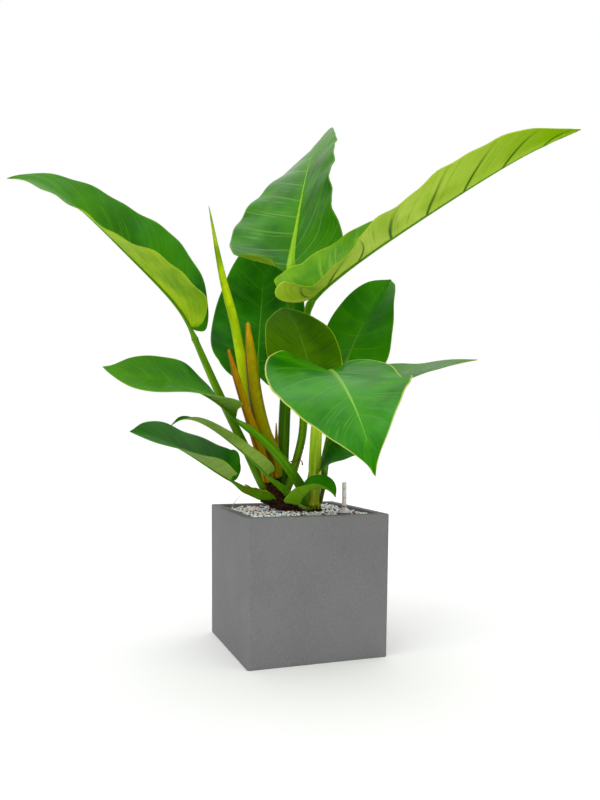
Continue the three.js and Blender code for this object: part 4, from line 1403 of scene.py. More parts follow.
    def quilted(self, points: Array, phase: Array, share: Array, side: int) -> Array:
        """Sinks the surface along the lateral veins.

        Args:
            points: Grid of points, in mm.
            phase: Vein count at each point; whole numbers lie on veins.
            share: Share of the way from midrib to margin.
            side: -1 for the left half, 1 for the right.

        Returns:
            The moved points.
        """
        normal = unit(np.cross(np.gradient(points, axis=0), np.gradient(points, axis=1))) * -side
        past = phase % 1
        stepped = past**0.8 * np.minimum(1, (1 - past) / 0.08) - 0.5
        swell = (1 - self.form.step) * (np.abs(np.sin(np.pi * phase)) ** 0.7 - 0.6) + self.form.step * stepped
        fade = np.sin(np.pi * np.clip(share, 0, 1)) ** 0.6
        return points + normal * (self.form.quilt * swell * fade)[..., None]

    def stem(
        self, materials: list[Material], steps: int = 150, sides: int = 18
    ) -> Piece:
        """Makes the stalk, which thins out along the midrib to the tip.

        Args:
            materials: Materials of the stalk and of the midrib.
            steps: Stretches along it.
            sides: Points round it.

        Returns:
            The piece.
        """
        form = self.form
        thin, thick = form.stalk_radius
        count = 14
        stations = np.linspace(0.97, 0, count)
        ribs = 0.5 + (form.rib_width * thin - 0.5) * (1 - stations) ** form.rib_taper
        face = self.axes(stations)[1]
        rib_points = self.midrib(stations) + face * (form.rib_rise * ribs)[:, None]
        stalk_points = np.array(form.stalk, dtype=float)
        lengths = np.concatenate([[0], np.cumsum(np.linalg.norm(np.diff(stalk_points, axis=0), axis=1))])
        down = (lengths + 20) / (lengths[-1] + 20)
        radii = np.concatenate([ribs, thin + (thick - thin) * np.minimum(1, down * 1.1) ** 0.8])
        centres, index = smooth_route(np.vstack([rib_points, stalk_points]), steps)
        radius = np.interp(index, np.arange(len(radii)), radii)
        on_rib = np.interp(index, [count - 2, count + 1], [1.0, 0.0])[:, None]
        rib_face = -self.axes(np.interp(index, np.arange(count), stations))[1]
        aim = unit(towards_axis(centres, form.crown)) * (1 - on_rib) + rib_face * on_rib
        reach = np.repeat(radius[:, None], sides, axis=1)
        travelled = np.concatenate([[0], np.cumsum(np.linalg.norm(np.diff(centres, axis=0), axis=1))]) * MM
        parts = MeshParts()
        parts.add_rings(section_rings(centres, aim, reach, 0.86 - 0.3 * on_rib), travelled, turn=0.0)
        on_blade = np.repeat(index[:-1] < count - 0.5, sides)
        parts.slots[: len(on_blade)] = on_blade.astype(int).tolist()
        return parts.build(self.name + "_stalk", materials)

    def build(self, materials: dict[Enum, Material]) -> None:
        """Makes both pieces and fixes them to the frame.

        Args:
            materials: Materials by tone.
        """
        place(self.blade([materials[self.form.upper], materials[self.form.under]]), "leaf", self.name)
        place(self.stem([materials[self.form.stem], materials[self.form.rib]]), "leaf", self.name)


# Rolled leaf and bud sheaths


@dataclass(frozen=True)
class ShootForm:
    """Form of a shoot that is still rolled or closed.

    Attributes:
        route: Axis from tip to base, in mm.
        radius: Radius at even places along it, in mm.
        flat: Thickness of the section as a share of its width.
        keel: Height of the two keels as a share of the radius.
        seam: Depth of the seam of a rolled blade as a share of the radius.
        tone: Its look.
        slot: Material slot of the record.
    """

    route: tuple[Triple, ...]
    radius: tuple[float, ...]
    flat: float
    keel: float
    seam: float
    tone: SheathTone
    slot: str = "bud_sheath"


SHOOTS: dict[str, ShootForm] = {
    "bud_sheath_spike": ShootForm(
        route=((-27, 30, 399), (-26, 30, 357), (-26, 31, 310), (-28, 30, 280)),
        radius=(0.8, 3.8, 4.8, 4.8), flat=0.8, keel=0.0, seam=0.0, tone=SheathTone.DRY,
    ),
    "leaf_rolled": ShootForm(
        route=(
            (-145, 63, 784), (-121, 59, 661), (-98, 56, 574), (-81, 55, 484),
            (-60, 50, 386), (-45, 42, 300), (-42, 35, 274),
        ),
        radius=(0.8, 5.5, 9.5, 10.5, 10.5, 9, 8), flat=0.9, keel=0.0, seam=0.16,
        tone=SheathTone.SPEAR, slot="young_leaf",
    ),
    "bud_sheath_tall": ShootForm(
        route=(
            (-85, 18, 575), (-77, 20, 502), (-68, 20, 438), (-55, 16, 377), (-39, 12, 330), (-36, 14, 299),
        ),
        radius=(4, 12.5, 15, 16, 17, 13), flat=0.75, keel=0.14, seam=0.0, tone=SheathTone.FRESH,
    ),
    "bud_sheath_short": ShootForm(
        route=((-121, 14, 526), (-105, 13, 472), (-89, 9, 420), (-72, 4, 368), (-58, 6, 324), (-48, 15, 292)),
        radius=(3.5, 9, 9.5, 10, 10, 8), flat=0.6, keel=0.16, seam=0.0, tone=SheathTone.DRY,
    ),
}


@dataclass
class Shoot:
    """A rolled leaf or a closed bud sheath.

    Attributes:
        name: Name of the frame's node.
        form: Its form and look.
        steps: Stretches along it.
        sides: Points round it.
    """

    name: str
    form: ShootForm
    steps: int = 90
    sides: int = 36

    def build(self, materials: dict[Enum, Material]) -> None:
        """Makes the piece and fixes it to the frame.

        Args:
            materials: Materials by tone.
        """
        form = self.form
        centres, _ = smooth_route(form.route, self.steps)
        share = np.linspace(0, 1, self.steps + 1)
        radius = np.interp(share, np.linspace(0, 1, len(form.radius)), form.radius)
        round_tip = np.minimum(1, 0.25 + (share / 0.012) ** 0.5)
        radius *= round_tip * np.minimum(1, 0.5 + ((1 - share) / 0.03) ** 0.5)
        aim = towards_axis(centres, LEFT_CROWN)
        aim[np.linalg.norm(aim, axis=1) < 12] = (0.3, 1, 0)
        turn = 2 * np.pi * np.arange(self.sides) / self.sides
        keel = 1 + form.keel * (np.abs(np.sin(turn)) ** 9)
        rolled = 1 - form.seam * (turn / (2 * np.pi))
        profile = (keel * rolled)[None, :] * radius[:, None]
        parts = MeshParts()
        parts.add_rings(section_rings(centres, aim, profile, form.flat), share, ends=(True, False))
        place(parts.build(self.name, [materials[form.tone]]), form.slot, self.name)


# Planter, gravel, soil and gauge


def quarter(steps: int) -> list[Pair]:
    """Even steps round a quarter circle of radius 1.

    Args:
        steps: Number of steps.

    Returns:
        For each step, a value that falls from 1 to 0 and one that rises from 0 to 1.
    """
    angles = [math.pi / 2 * k / steps for k in range(steps + 1)]
    return [(1 - math.sin(angle), 1 - math.cos(angle)) for angle in angles]


@dataclass
class Planter:
    """Square planter with thick walls and softly rounded edges, in mm."""

    side: float = 250
    base_side: float = 248
    height: float = 245
    wall: float = 15
    floor: float = 15
    corner: float = 5
    edge: float = 2
    lip: float = 1.5

    def ring(self, side: float, corner: float, z: float, steps: int = 8) -> Array:
        """A square with rounded corners.

        Args:
            side: Width of the square.
            corner: Radius of its corners.
            z: Height of the ring.
            steps: Stretches of each corner.

        Returns:
            The points, in mm.
        """
        points = []
        middle = side / 2 - corner
        for quarter in range(4):
            sign_x = 1 if quarter in (0, 3) else -1
            sign_y = 1 if quarter in (0, 1) else -1
            for k in range(steps + 1):
                angle = math.pi / 2 * (quarter + k / steps)
                x = middle * sign_x + corner * math.cos(angle)
                y = middle * sign_y + corner * math.sin(angle)
                points.append((x, y, z))
        return np.array(points)

    def build(self, material: Material) -> None:
        """Makes the planter and fixes it to the frame.

        Args:
            material: Its material.
        """
        rings = []
        for out, up in quarter(4):
            side, corner = self.base_side - 2 * self.edge * out, self.corner - 0.5 * self.edge * out
            rings.append(self.ring(side, corner, self.edge * up))
        for share in np.arange(1, 24) / 24:
            side = self.base_side + (self.side - self.base_side) * share
            rings.append(self.ring(side, self.corner, self.edge + (self.height - 2 * self.edge) * share))
        for down, out in quarter(5):
            side, corner = self.side - 2 * self.edge * out, self.corner - 0.5 * self.edge * out
            rings.append(self.ring(side, corner, self.height - self.edge * down))
        inner = self.side - 2 * self.wall
        for out, down in quarter(4):
            rings.append(self.ring(inner + 2 * self.lip * out, self.corner, self.height - self.lip * down))
        rings.append(self.ring(inner - 3, self.corner - 1, (self.height + self.floor) / 2))
        rings.append(self.ring(inner - 6, self.corner - 1, self.floor))
        parts = MeshParts()
        parts.add_rings(np.stack(rings))
        place(parts.build("planter_body", [material]), "planter", "planter")


def stone_shapes(count: int, rng: np.random.Generator) -> tuple[list[Array], Array]:
    """Makes some different angular stones of about unit radius.

    Args:
        count: How many shapes.
        rng: Source of random numbers.

    Returns:
        The points of each shape, and the faces that all share.
    """
    golden = (1 + 5**0.5) / 2
    corners = []
    for a in (-1, 1):
        for b in (-golden, golden):
            corners += [(0, a, b), (a, b, 0), (b, 0, a)]
    corners = unit(np.array(corners, dtype=float))
    faces = []
    for i in range(12):
        for j in range(i + 1, 12):
            for k in range(j + 1, 12):
                trio = corners[[i, j, k]]
                if max(np.linalg.norm(trio - np.roll(trio, 1, axis=0), axis=1)) < 1.1:
                    outward = np.dot(np.cross(trio[1] - trio[0], trio[2] - trio[0]), trio.sum(axis=0)) > 0
                    faces.append((i, j, k) if outward else (i, k, j))
    shapes = []
    for _ in range(count):
        stretch = rng.uniform(0.72, 1.2, 3)
        shapes.append(corners * rng.uniform(0.78, 1.14, (12, 1)) * stretch)
    return shapes, np.array(faces)


def random_turns(count: int, rng: np.random.Generator) -> Array:
    """Random rotation matrices.

    Args:
        count: How many.
        rng: Source of random numbers.

    Returns:
        The matrices.
    """
    q = unit(rng.normal(size=(count, 4)))
    w, x, y, z = q.T
    return np.array(
        [
            [1 - 2 * (y * y + z * z), 2 * (x * y - z * w), 2 * (x * z + y * w)],
            [2 * (x * y + z * w), 1 - 2 * (x * x + z * z), 2 * (y * z - x * w)],
            [2 * (x * z - y * w), 2 * (y * z + x * w), 1 - 2 * (x * x + y * y)],
        ]
    ).transpose(2, 0, 1)


def add_stones(parts: MeshParts, centres: Array, sizes: Array, rng: np.random.Generator) -> None:
    """Adds a stone at each place.

    Args:
        parts: The mesh that takes them.
        centres: Their places, in mm.
        sizes: Their radii, in mm.
        rng: Source of random numbers.
    """
    shapes, faces = stone_shapes(14, rng)
    turns = random_turns(len(centres), rng)
    kind = rng.integers(0, len(shapes), len(centres))
    points = np.stack([shapes[k] for k in kind])
    points = np.einsum("nij,nkj->nki", turns, points) * sizes[:, None, None] + centres[:, None]
    offsets = 12 * np.arange(len(centres))
    parts.add(points.reshape(-1, 3), (faces[None] + offsets[:, None, None]).reshape(-1, 3))
    parts.mark(TINT, np.repeat(rng.uniform(0, 1, len(centres)), 12))


@dataclass
class Substrate:
    """Gravel and the root ball that stands proud of it, in mm.

    Attributes:
        gravel_top: Level of the gravel.
        inner: Inside width of the planter at that level.
        grain: Usual radius of a grain.
        hollow: Middle, width along X and Y, and depth of the hollow in the gravel.
        gauge_clearance: Radius round the gauge that is free of grains.
        bed_foot: Level of the gravel's underside.
        middle: Middle of the soil.
        left_foot: Place and radius of the soil round the left crown.
        right_foot: The same for the right crown.
        edge_z: Level of the soil's edge.
        skirt_z: Level that its edge runs down to, under the grains.
        mound: Middle, height and spread of the soil's mound.
        crumbs: Number of crumbs on the soil.
        heap: Number of crumbs that are heaped against the left crown.
        heap_foot: Level of the heap's foot.
    """

    gravel_top: float = 240.5
    inner: float = 219
    grain: float = 2.85
    hollow: tuple[float, float, float, float, float] = (-105, 105, 26, 34, 3.5)
    gauge_clearance: float = 13.5
    bed_foot: float = 15.5
    middle: Pair = (15, 6)
    left_foot: Triple = (7, 11, 25)
    right_foot: Triple = (28, -2, 21)
    edge_z: float = 242
    skirt_z: float = 226
    mound: tuple[float, float, float, float] = (2, 14, 9, 22)
    crumbs: int = 900
    heap: int = 420
    heap_foot: float = 243

    def soil_reach(self, angle: Array) -> Array:
        """Distance from the middle of the soil to its edge, which runs round both crowns.

        Args:
            angle: Directions, in radians.

        Returns:
            The distances, in mm.
        """
        ray = np.stack([np.cos(angle), np.sin(angle)], axis=-1)
        share = np.linspace(0, 1, 13)[:, None]
        discs = np.array(self.left_foot) * (1 - share) + np.array(self.right_foot) * share
        centres, reach = discs[:, :2] - np.array(self.middle), discs[:, 2]
        along = ray @ centres.T
        inside = reach**2 - np.sum(centres**2, axis=1) + along**2
        exits = np.where(inside > 0, along + np.sqrt(np.maximum(inside, 0)), 0)
        return exits.max(axis=-1) * (1 + 0.05 * np.sin(3 * angle + 1) + 0.03 * np.sin(7 * angle))

    def soil_height(self, x: Array, y: Array, share: Array) -> Array:
        """Height of the soil's top.

        Args:
            x: Places along X, in mm.
            y: Places along Y, in mm.
            share: Share of the way from the soil's middle to its edge.

        Returns:
            The heights, in mm.
        """
        middle_x, middle_y, height, spread = self.mound
        rise = height * np.exp(-((np.hypot(x - middle_x, y - middle_y) / spread) ** 2))
        return self.edge_z + rise * (1 - share**6)

    def build_gravel(self, bed: Material, grains: Material) -> None:
        """Makes the dark bed, painted shadow in the gaps between the grains, and the loose grains on it.

        Args:
            bed: Dark material between the grains, painted shadow in the gaps.
            grains: Material of the grains.
        """
        rng = np.random.default_rng(SEED)
        half = self.inner / 2
        parts = MeshParts()
        hollow_x, hollow_y, wide, long, depth = self.hollow
        for layer, drop in enumerate((4.4, 1.5)):
            pitch = 1.75 * self.grain
            count = int(2 * half / pitch)
            line = np.linspace(-half + 2, half - 2, count)
            x, y = (g.ravel() for g in np.meshgrid(line, line))
            x = x + pitch * (0.5 * layer + rng.uniform(-0.38, 0.38, x.size))
            y = y + pitch * (0.5 * layer + rng.uniform(-0.38, 0.38, y.size))
            east, north = x - self.middle[0], y - self.middle[1]
            clear = np.hypot(east, north) > self.soil_reach(np.arctan2(north, east)) - 2
            clear &= np.hypot(x - GAUGE[0], y - GAUGE[1]) > self.gauge_clearance
            clear &= (np.abs(x) < half - 1.5) & (np.abs(y) < half - 1.5)
            x, y = x[clear], y[clear]
            size = self.grain * rng.uniform(0.66, 1.25, x.size)
            dip = depth * np.exp(-(((x - hollow_x) / wide) ** 2 + ((y - hollow_y) / long) ** 2))
            z = self.gravel_top - drop + rng.uniform(-1.1, 1.2, x.size) - dip
            add_stones(parts, np.column_stack([x, y, z]), size, rng)
        place(parts.build("gravel_grains", [grains], smooth=False), "gravel", "gravel")
        # Dark sheet under the grains: painted shadow in the gaps between them.
        sheet = MeshParts()
        low, top = self.bed_foot, self.gravel_top - 4.5
        corners = [(-1, -1), (1, -1), (1, 1), (-1, 1)]
        reach = {low: half - 3.5, top: half}
        sheet.add(
            np.array([(reach[z] * a, reach[z] * b, z) for z in (low, top) for a, b in corners]),
            ring_faces(2, 4) + [(3, 2, 1, 0), (4, 5, 6, 7)],
        )
        place(sheet.build("gravel_gap_shadow", [bed], smooth=False), "gravel", "gravel")

    def build_soil(self, soil: Material) -> None:
        """Makes the root ball's mound and the crumbs on it.

        Args:
            soil: Its material.
        """
        rng = np.random.default_rng(SEED + 1)
        turns, rings = 150, 46
        angle = 2 * np.pi * np.arange(turns) / turns
        share = np.concatenate([[1.02, 1.02], np.linspace(1, 0.02, rings)])
        reach = self.soil_reach(angle)
        x = self.middle[0] + share[:, None] * reach * np.cos(angle)
        y = self.middle[1] + share[:, None] * reach * np.sin(angle)
        z = self.soil_height(x, y, np.minimum(share, 1)[:, None])
        bumps = sum(
            rng.uniform(0.5, 1.0) * amp * np.sin(kx * x + ky * y + phase)
            for amp, kx, ky, phase in zip(
                (1.2, 1.2, 0.9, 0.9, 0.6, 0.6, 0.6),
                rng.uniform(-0.5, 0.5, 7), rng.uniform(-0.5, 0.5, 7), rng.uniform(0, 6, 7),
            )
        )
        z = z + bumps * 0.8 + rng.uniform(-0.7, 0.7, z.shape)
        z[0], z[1] = self.skirt_z, self.edge_z - 4
        parts = MeshParts()
        parts.add_rings(np.stack([x, y, z], axis=-1), ends=(False, True))
        parts.mark(TINT, np.full(turns * len(share), 0.5))
        count = self.crumbs
        spin = rng.uniform(0, 2 * np.pi, count)
        far = np.sqrt(rng.uniform(0.02, 1.05, count))
        cx = self.middle[0] + far * self.soil_reach(spin) * np.cos(spin)
        cy = self.middle[1] + far * self.soil_reach(spin) * np.sin(spin)
        cz = self.soil_height(cx, cy, np.minimum(far, 1)) + rng.uniform(-0.6, 0.8, count)
        add_stones(parts, np.column_stack([cx, cy, cz]), rng.uniform(0.7, 2.6, count), rng)
        count = self.heap
        high = rng.uniform(0, 1, count)
        mid_x, mid_y, reach = CROWNS[0].section(self.heap_foot + 18 * high)
        spin = np.radians(rng.uniform(165, 285, count))
        out = reach + rng.uniform(-1.5, 9, count) * np.sin(np.pi * np.minimum(1, 0.35 + high)) ** 0.5
        x, y, z = mid_x + out * np.cos(spin), mid_y + out * np.sin(spin), self.heap_foot + 15 * high
        add_stones(parts, np.column_stack([x, y, z]), rng.uniform(1.2, 3.4, count), rng)
        place(parts.build("root_ball_soil", [soil], smooth=False), "soil", "root_ball")


@dataclass
class Crown:
    """Short fibrous stem of one of the two plants.

    Attributes:
        name: Name of the frame's node.
        levels: Height, centre x and y, and radius at places from the hidden foot up, in mm.
    """

    name: str
    levels: tuple[tuple[float, float, float, float], ...]

    def section(self, z: Array) -> tuple[Array, Array, Array]:
        """Centre and radius at some heights.

        Args:
            z: Heights, in mm.

        Returns:
            Centres along X, centres along Y and radii, in mm.
        """
        heights, *rest = np.array(self.levels, dtype=float).T
        return tuple(np.interp(z, heights, values) for values in rest)

    def build(self, material: Material) -> None:
        """Makes the stem and fixes it to the frame.

        Args:
            material: Its material.
        """
        rng = np.random.default_rng(SEED + len(self.levels))
        sides, rings = 84, 60
        turn = 2 * np.pi * np.arange(sides) / sides
        z = np.linspace(self.levels[0][0], self.levels[-1][0], rings)
        middle_x, middle_y, radius = (values[:, None] for values in self.section(z))
        ridges = 0.5 * np.sin(17 * turn + 2) + 0.4 * np.sin(29 * turn) + rng.uniform(-0.35, 0.35, sides)
        scars = 3.6 * (np.abs((z / 11) % 1 - 0.5) ** 2)[:, None]
        waves = zip(rng.integers(2, 9, 6), rng.uniform(0.1, 0.6, 6), rng.uniform(0, 6, 6))
        lumps = sum(
            rng.uniform(0.4, 0.9) * np.sin(count * turn[None, :] + rate * z[:, None] + phase)
            for count, rate, phase in waves
        )
        rough = ridges + scars + lumps - 1.2 + rng.uniform(-0.4, 0.4, lumps.shape)
        reach = np.maximum(radius + rough, 0.5)
        x, y = middle_x + reach * np.cos(turn), middle_y + reach * np.sin(turn)
        height = np.broadcast_to(z[:, None], x.shape) + rng.uniform(-0.5, 0.5, x.shape)
        parts = MeshParts()
        parts.add_rings(np.stack([x, y, height], axis=-1), z / z[-1], ends=(False, True))
        place(parts.build(self.name + "_stem", [material]), "crown", self.name)


CROWNS = (
    Crown(
        "crown_left",
        (
            (205, 4, 13, 9), (238, 4, 13, 11), (246, -7, 16, 17), (254, -20, 21, 21), (262, -33, 26, 25),
            (271, -33, 26, 21), (281, -34, 27, 18), (292, -33, 25, 14), (298, -32, 23, 8),
        ),
    ),
    Crown(
        "crown_right",
        ((200, 28, -2, 14), (222, 28, -2, 15), (255, 28, -2, 15), (264, 28, -2, 13), (268, 28, -2, 8)),
    ),
)


def lathe(
    name: str, profile: list[Pair], axis: Pair, material: Material
) -> Piece:
    """Turns a profile round an upright axis.

    Args:
        name: Name of the piece.
        profile: Radius and height of each point, in mm.
        axis: Place of the axis, in mm.
        material: Its material.

    Returns:
        The piece.
    """
    sides = 40
    turn = 2 * np.pi * np.arange(sides) / sides
    rings = [
        np.column_stack([axis[0] + r * np.cos(turn), axis[1] + r * np.sin(turn), np.full(sides, z)])
        for r, z in profile
    ]
    parts = MeshParts()
    parts.add_rings(np.stack(rings))
    piece = parts.build(name, [material])
    bevel = piece.modifiers.new("edges", "BEVEL")
    bevel.width = 0.2 * MM
    bevel.segments = 2
    bevel.limit_method = "ANGLE"
    return piece


@dataclass
class WaterGauge:
    """Water gauge with a flared collar, a clear tube and a float, in mm."""

    foot: float = 239
    rim: float = 6.2
    collar_top: float = 254
    tube_top: float = 297
    tube: float = 3.8
    skirt: float = 11.8
    marks: tuple[float, ...] = (271, 286)
    marks_face: float = 246  # degrees from +X
    marks_width: float = 66  # degrees round the tube

    def build(self) -> None:
        """Makes the gauge and fixes it to the frame."""
        collar = plain_material("gauge_collar", srgb(206, 198, 214), 0.25, 0.3)
        rim = plain_material("gauge_rim", srgb(84, 64, 78), 0.3, 0.3)
        clear = clear_plastic("gauge_tube")
        red = plain_material("gauge_float", srgb(150, 40, 20), 0.4)
        yellow = plain_material("gauge_marks", srgb(222, 178, 60), 0.5)
        foot, seam, top = self.foot, self.foot + self.rim, self.collar_top
        wide = self.skirt
        ring = [(wide - 0.8, foot), (wide, foot + 0.8), (wide + 0.2, seam - 1), (wide - 0.8, seam)]
        place(lathe("gauge_collar_rim", ring, GAUGE, rim), "gauge_collar", "gauge_collar")
        shares = np.linspace(0, 1, 9)
        reach = self.tube + 0.9 + (self.skirt - self.tube - 1.4) * np.cos(shares * np.pi / 2) ** 1.1
        bell = [(float(r), float(z)) for r, z in zip(reach, seam + 0.2 + (top - seam - 0.2) * shares)]
        place(lathe("gauge_collar_bell", bell, GAUGE, collar), "gauge_collar")
        tube = [(self.tube, top - 3), (self.tube, self.tube_top - 0.8), (self.tube - 0.8, self.tube_top)]
        place(lathe("gauge_tube_clear", tube, GAUGE, clear), "gauge_clear", "gauge_tube")
        red_tip = [(2.2, top - 1.5), (2.6, top + 1.5), (1.8, top + 4)]
        place(lathe("gauge_float_tip", red_tip, GAUGE, red), "gauge_float", "gauge_float")
        for number, z in enumerate(self.marks):
            self.print_mark(f"gauge_mark_{number}", z, yellow)
        self.print_mark("gauge_mark_low", self.collar_top + 2.4, red)

    def print_mark(self, name: str, z: float, material: Material) -> None:
        """Prints a short dash on the front of the tube.

        Args:
            name: Name of the piece.
            z: Height of the dash, in mm.
            material: Its material.
        """
        across, up = np.meshgrid(np.linspace(-1, 1, 9), np.linspace(-1, 1, 5))
        turn = np.radians(self.marks_face + 0.5 * self.marks_width * across)
        reach = self.tube + 0.12
        height = z + 1.3 * up * np.sqrt(1 - 0.7 * across**4)
        points = np.stack([GAUGE[0] + reach * np.cos(turn), GAUGE[1] + reach * np.sin(turn), height], axis=-1)
        place(thin_sheet(name, points, material, 0.25, offset=0), "gauge_float")


@dataclass
class FootSheath:
    """Old sheath round the foot of the right-hand plant, torn at its edges, in mm."""

    x: float = RIGHT_CROWN[0]
    y: float = RIGHT_CROWN[1]
    radius: float = 18.2
    low: float = 243
    high: float = 266

    def build(self, material: Material) -> None:
        """Makes the sheath and fixes it to the frame.

        Args:
            material: Its material.
        """
        rng = np.random.default_rng(SEED + 5)
        columns, rows = 120, 10
        turn = np.radians(150 + 240 * np.linspace(0, 1, columns))
        tear = np.abs(np.sin(9 * turn)) ** 3 * 7 + rng.uniform(0, 1.5, columns)
        share = np.linspace(0, 1, rows)[:, None]
        z = self.low + tear + (self.high - self.low - tear) * share + 1.5 * np.sin(5 * turn) * share
        radius = self.radius + 1.2 * np.sin(11 * turn) * (1 - share) + 0.6 * np.sin(23 * turn)
        points = np.stack([self.x + radius * np.cos(turn), self.y + radius * np.sin(turn), z], axis=-1)
        piece = thin_sheet(
            "base_sheath_torn", points, material, 1.2,
            line=lambda row, column: (column / columns, 0.4 + 0.5 * row / rows),
        )
        place(piece, "bud_sheath", "base_sheath")


def add_strand(
    parts: MeshParts,
    route: Sequence[Triple] | Array,
    radius: Pair,
    sides: int,
    steps: int,
) -> None:
    """Adds a thin round strand along a smooth route.

    Args:
        parts: The mesh that takes it.
        route: Points of its route, in mm.
        radius: Radius at its start and at its end, in mm.
        sides: Points round it.
        steps: Stretches along it.
    """
    centres, _ = smooth_route(route, steps)
    forward = unit(np.gradient(centres, axis=0))
    aside = unit(np.cross(forward, np.where(np.abs(forward[:, 2:]) > 0.9, [[1.0, 0, 0]], [[0, 0, 1.0]])))
    reach = np.repeat(np.linspace(radius[0], radius[1], steps + 1)[:, None], sides, axis=1)
    parts.add_rings(section_rings(centres, aside, reach))


@dataclass
class DryBits:
    """Fine roots on the crowns, dried stipules between the stalks and a dead root tip.

    Attributes:
        stipules: Routes of the dried stipules, in mm.
        root_tip: Route of the dead root tip at the planter's wall, in mm.
        roots: Number of fine roots.
    """

    stipules: tuple[tuple[Triple, ...], ...] = (
        ((6, -27, 356), (1, -23, 342), (-3, -19, 328), (-5, -16, 315), (2, -14, 290), (10, -14, 262)),
        ((0, -22, 339), (-6, -23, 333), (-11, -22, 330), (-17, -22, 331)),
        ((-1, -21, 336), (4, -22, 330), (5, -22, 324)),
    )
    root_tip: tuple[Triple, ...] = ((-105, 60, 238), (-100, 60, 247), (-93, 61, 257), (-84, 62, 266))
    roots: int = 130

    def build(self, bark: Material, effects: Effects) -> None:
        """Makes the pieces and fixes them to the frame.

        Args:
            bark: Material of the fine roots.
            effects: Shared node groups.
        """
        rng = np.random.default_rng(SEED + 9)
        fine = MeshParts()
        for number in range(self.roots):
            crown = CROWNS[number % 5 // 4]
            angle, height = rng.uniform(0, 2 * np.pi), rng.uniform(243, crown.levels[-2][0] - 2)
            lean, drop = rng.uniform(-0.5, 0.5), rng.uniform(5, 14)
            heights = np.array([height, height - drop / 3, max(height - drop, 242)])
            x, y, radius = crown.section(heights)
            out = radius + np.array([-1.0, 1.2, rng.uniform(0, 3)])
            turns = angle + np.array([0, lean / 2, lean])
            route = np.column_stack([x + out * np.cos(turns), y + out * np.sin(turns), heights])
            add_strand(fine, route, (0.7, 0.2), 4, 6)
        place(fine.build("crown_fine_roots", [bark]), "crown")
        brown = GroundFinish(srgb(104, 56, 16), srgb(170, 106, 48), 300.0, 0.4)
        husk = MeshParts()
        for route in self.stipules:
            add_strand(husk, route, (0.5, 1.5), 6, 24)
        dry = brown.material("dry_stipule", effects)
        place(husk.build("dry_stipules", [dry]), "bud_sheath")
        pink = plain_material("dead_root_tip", srgb(196, 150, 140), 0.6)
        tip = MeshParts()
        add_strand(tip, self.root_tip, (0.9, 0.3), 6, 12)
        place(tip.build("dead_root_tip", [pink]), "crown")


@dataclass
class LowWing:
    """Dry-edged wing of the lowest left stalk, which clasps the crown.

    Attributes:
        top: Route of its upper edge, in mm.
        low: Route of its lower edge, in mm.
    """

    top: tuple[Triple, ...] = (
        (-87, 26, 288), (-76, 22, 284), (-63, 17, 280), (-55, 13, 279), (-43, 9, 273), (-34, 5, 264),
    )
    low: tuple[Triple, ...] = (
        (-88, 24, 279), (-78, 20, 271), (-66, 13, 262), (-55, 9, 261), (-44, 6, 261), (-35, 5, 262),
    )

    def build(self, material: Material) -> None:
        """Makes the wing and fixes it to the frame.

        Args:
            material: Its material.
        """
        columns, rows = 40, 10
        upper, _ = smooth_route(self.top, columns)
        lower, _ = smooth_route(self.low, columns)
        share = np.linspace(0, 1, rows)[:, None, None]
        growth = np.linspace(0.3, 1, columns + 1)[:, None]
        waves = np.sin(np.linspace(0, 22, columns + 1))[:, None]
        bulge = np.sin(np.pi * share) * np.array([-1.2, -3.2, 0]) * growth
        frill = (1 - share) ** 3 * waves * np.array([0, 1.2, 0.8])
        points = upper[None] * (1 - share) + lower[None] * share + bulge + frill
        piece = thin_sheet(
            "leaf_left_low_wing", points, material, 1.3,
            line=lambda row, column: (0.02 + 0.2 * row / rows, 0.05 + 0.95 * column / columns),
        )
        place(piece, "bud_sheath", "leaf_left_low")


# Studio


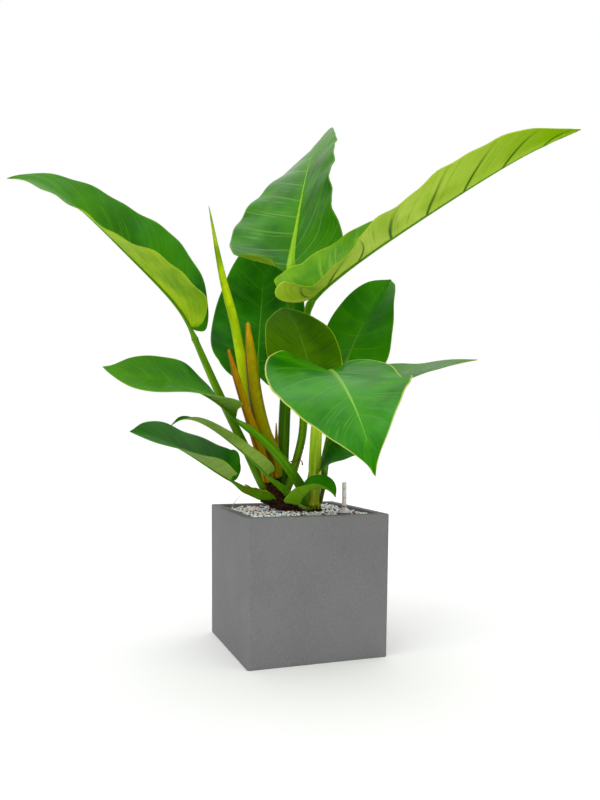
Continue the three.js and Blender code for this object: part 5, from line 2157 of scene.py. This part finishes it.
@dataclass
class Studio:
    """Pale floor, soft lights and the camera, in metres."""

    camera_at: Triple = (-0.43755, -1.2089, 0.3741)
    azimuth: float = -19.38
    elevation: float = 2.66
    roll: float = 0.4
    focal_px: float = 718.2
    image: tuple[int, int] = (600, 800)
    centre_px: Pair = (289.0, 470.0)
    floor_size: float = 60
    sky: float = 0.42
    lamps: dict[str, tuple[Triple, float, float]] = field(
        default_factory=lambda: {
            "key": ((-0.62, -0.5, 0.6), 1.6, 70),
            "front": ((0.5, -0.75, 0.35), 0.6, 70),
            "top": ((0.15, 0.3, 0.95), 1.5, 80),
        }
    )

    def build(self) -> None:
        """Makes the floor, the lights, the world and the camera."""
        scene = bpy.context.scene
        scene.view_settings.view_transform = "Standard"
        scene.world = self.backdrop()
        bpy.ops.mesh.primitive_plane_add(size=self.floor_size)
        floor = bpy.context.object
        floor.name = "floor"
        paint, _, shader = new_material("floor")
        shader.inputs["Base Color"].default_value = srgb(249, 249, 249)
        shader.inputs["Roughness"].default_value = 0.9
        shader.inputs["Specular IOR Level"].default_value = 0.0
        floor.data.materials.append(paint)
        for name, (towards, strength, spread) in self.lamps.items():
            self.light(name, towards, strength, spread)
        self.camera()

    def backdrop(self) -> bpy.types.World:
        """Makes a world that is seen white and lights the plant softly.

        Returns:
            The world.
        """
        world = bpy.data.worlds.new("studio")
        world.use_nodes = True
        graph = NodeGraph(world.node_tree)
        seen = graph.add("ShaderNodeLightPath").outputs["Is Camera Ray"]
        strength = graph.math("ADD", graph.math("MULTIPLY", seen, 1 - self.sky), self.sky)
        background = world.node_tree.nodes["Background"]
        background.inputs["Color"].default_value = (1, 1, 1, 1)
        graph.feed(background.inputs["Strength"], strength)
        return world

    def light(self, name: str, towards: Triple, strength: float, spread: float) -> None:
        """Adds a far soft light, as broad as a softbox is from the plant.

        Args:
            name: Name of the light.
            towards: Direction from the plant to the light.
            strength: Its strength.
            spread: Its width as seen from the plant, in degrees.
        """
        data = bpy.data.lights.new(name, "SUN")
        data.energy = strength
        data.angle = math.radians(spread)
        lamp = bpy.data.objects.new(name, data)
        lamp.rotation_euler = (-Vector(towards)).to_track_quat("-Z", "Y").to_euler()
        bpy.context.scene.collection.objects.link(lamp)

    def camera(self) -> None:
        """Adds the camera at the photograph's viewing angle."""
        azimuth, elevation, roll = (math.radians(v) for v in (self.azimuth, self.elevation, self.roll))
        level = math.cos(elevation)
        forward = Vector((-math.sin(azimuth) * level, math.cos(azimuth) * level, -math.sin(elevation)))
        right = forward.cross(Vector((0, 0, 1))).normalized()
        up = right.cross(forward)
        side = right * math.cos(roll) + up * math.sin(roll)
        head = up * math.cos(roll) - right * math.sin(roll)
        data = bpy.data.cameras.new("camera")
        width, height = self.image
        data.sensor_width = 36
        data.lens = self.focal_px * data.sensor_width / height
        data.shift_x = (width / 2 - self.centre_px[0]) / height
        data.shift_y = (self.centre_px[1] - height / 2) / height
        camera = bpy.data.objects.new("camera", data)
        turned = Matrix((side, head, -forward)).transposed().to_4x4()
        camera.matrix_world = Matrix.Translation(self.camera_at) @ turned
        bpy.context.scene.collection.objects.link(camera)
        bpy.context.scene.camera = camera


def gauge_shaft_finish() -> None:
    """Gives the hidden shaft of the gauge its plain plastic."""
    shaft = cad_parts["gauge_shaft"]
    shaft.data.materials.clear()
    shaft.data.materials.append(plain_material("gauge_shaft", srgb(176, 176, 182), 0.4))


def main() -> None:
    """Builds the plant in its planter, piece by piece."""
    logging.basicConfig(level=logging.INFO, format="%(message)s")
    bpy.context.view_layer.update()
    effects = Effects(BladeLines(), Mottle(), Fibres())
    materials: dict[Enum, Material] = {}
    for tones in (BladeTone, StalkTone, SheathTone):
        for tone in tones:
            materials[tone] = tone.value.material(tone.name.lower(), effects)
    Planter().build(ConcreteFinish().material("fibre_concrete", effects))
    soil = GroundFinish(srgb(14, 8, 6), srgb(104, 60, 34), 220.0, 1.4).material("peat", effects)
    bark = GroundFinish(srgb(24, 13, 7), srgb(108, 62, 26), 170.0, 1.2).material("fibrous_stem", effects)
    # Dark colours of the sheet under the grains: painted shadow in the gaps.
    bed = GroundFinish(srgb(40, 28, 26), srgb(96, 76, 70), 300.0, 1.0).material("gravel_gap_shadow", effects)
    ground = Substrate()
    ground.build_gravel(bed, GrainFinish().material("mineral_grains", effects))
    ground.build_soil(soil)
    for crown in CROWNS:
        crown.build(bark)
    for name, form in LEAVES.items():
        Leaf(name, form).build(materials)
    for name, form in SHOOTS.items():
        Shoot(name, form).build(materials)
    FootSheath().build(materials[SheathTone.FOOT])
    LowWing().build(materials[SheathTone.WING])
    DryBits().build(bark, effects)
    WaterGauge().build()
    gauge_shaft_finish()
    Studio().build()


if __name__ == "__main__":
    main()
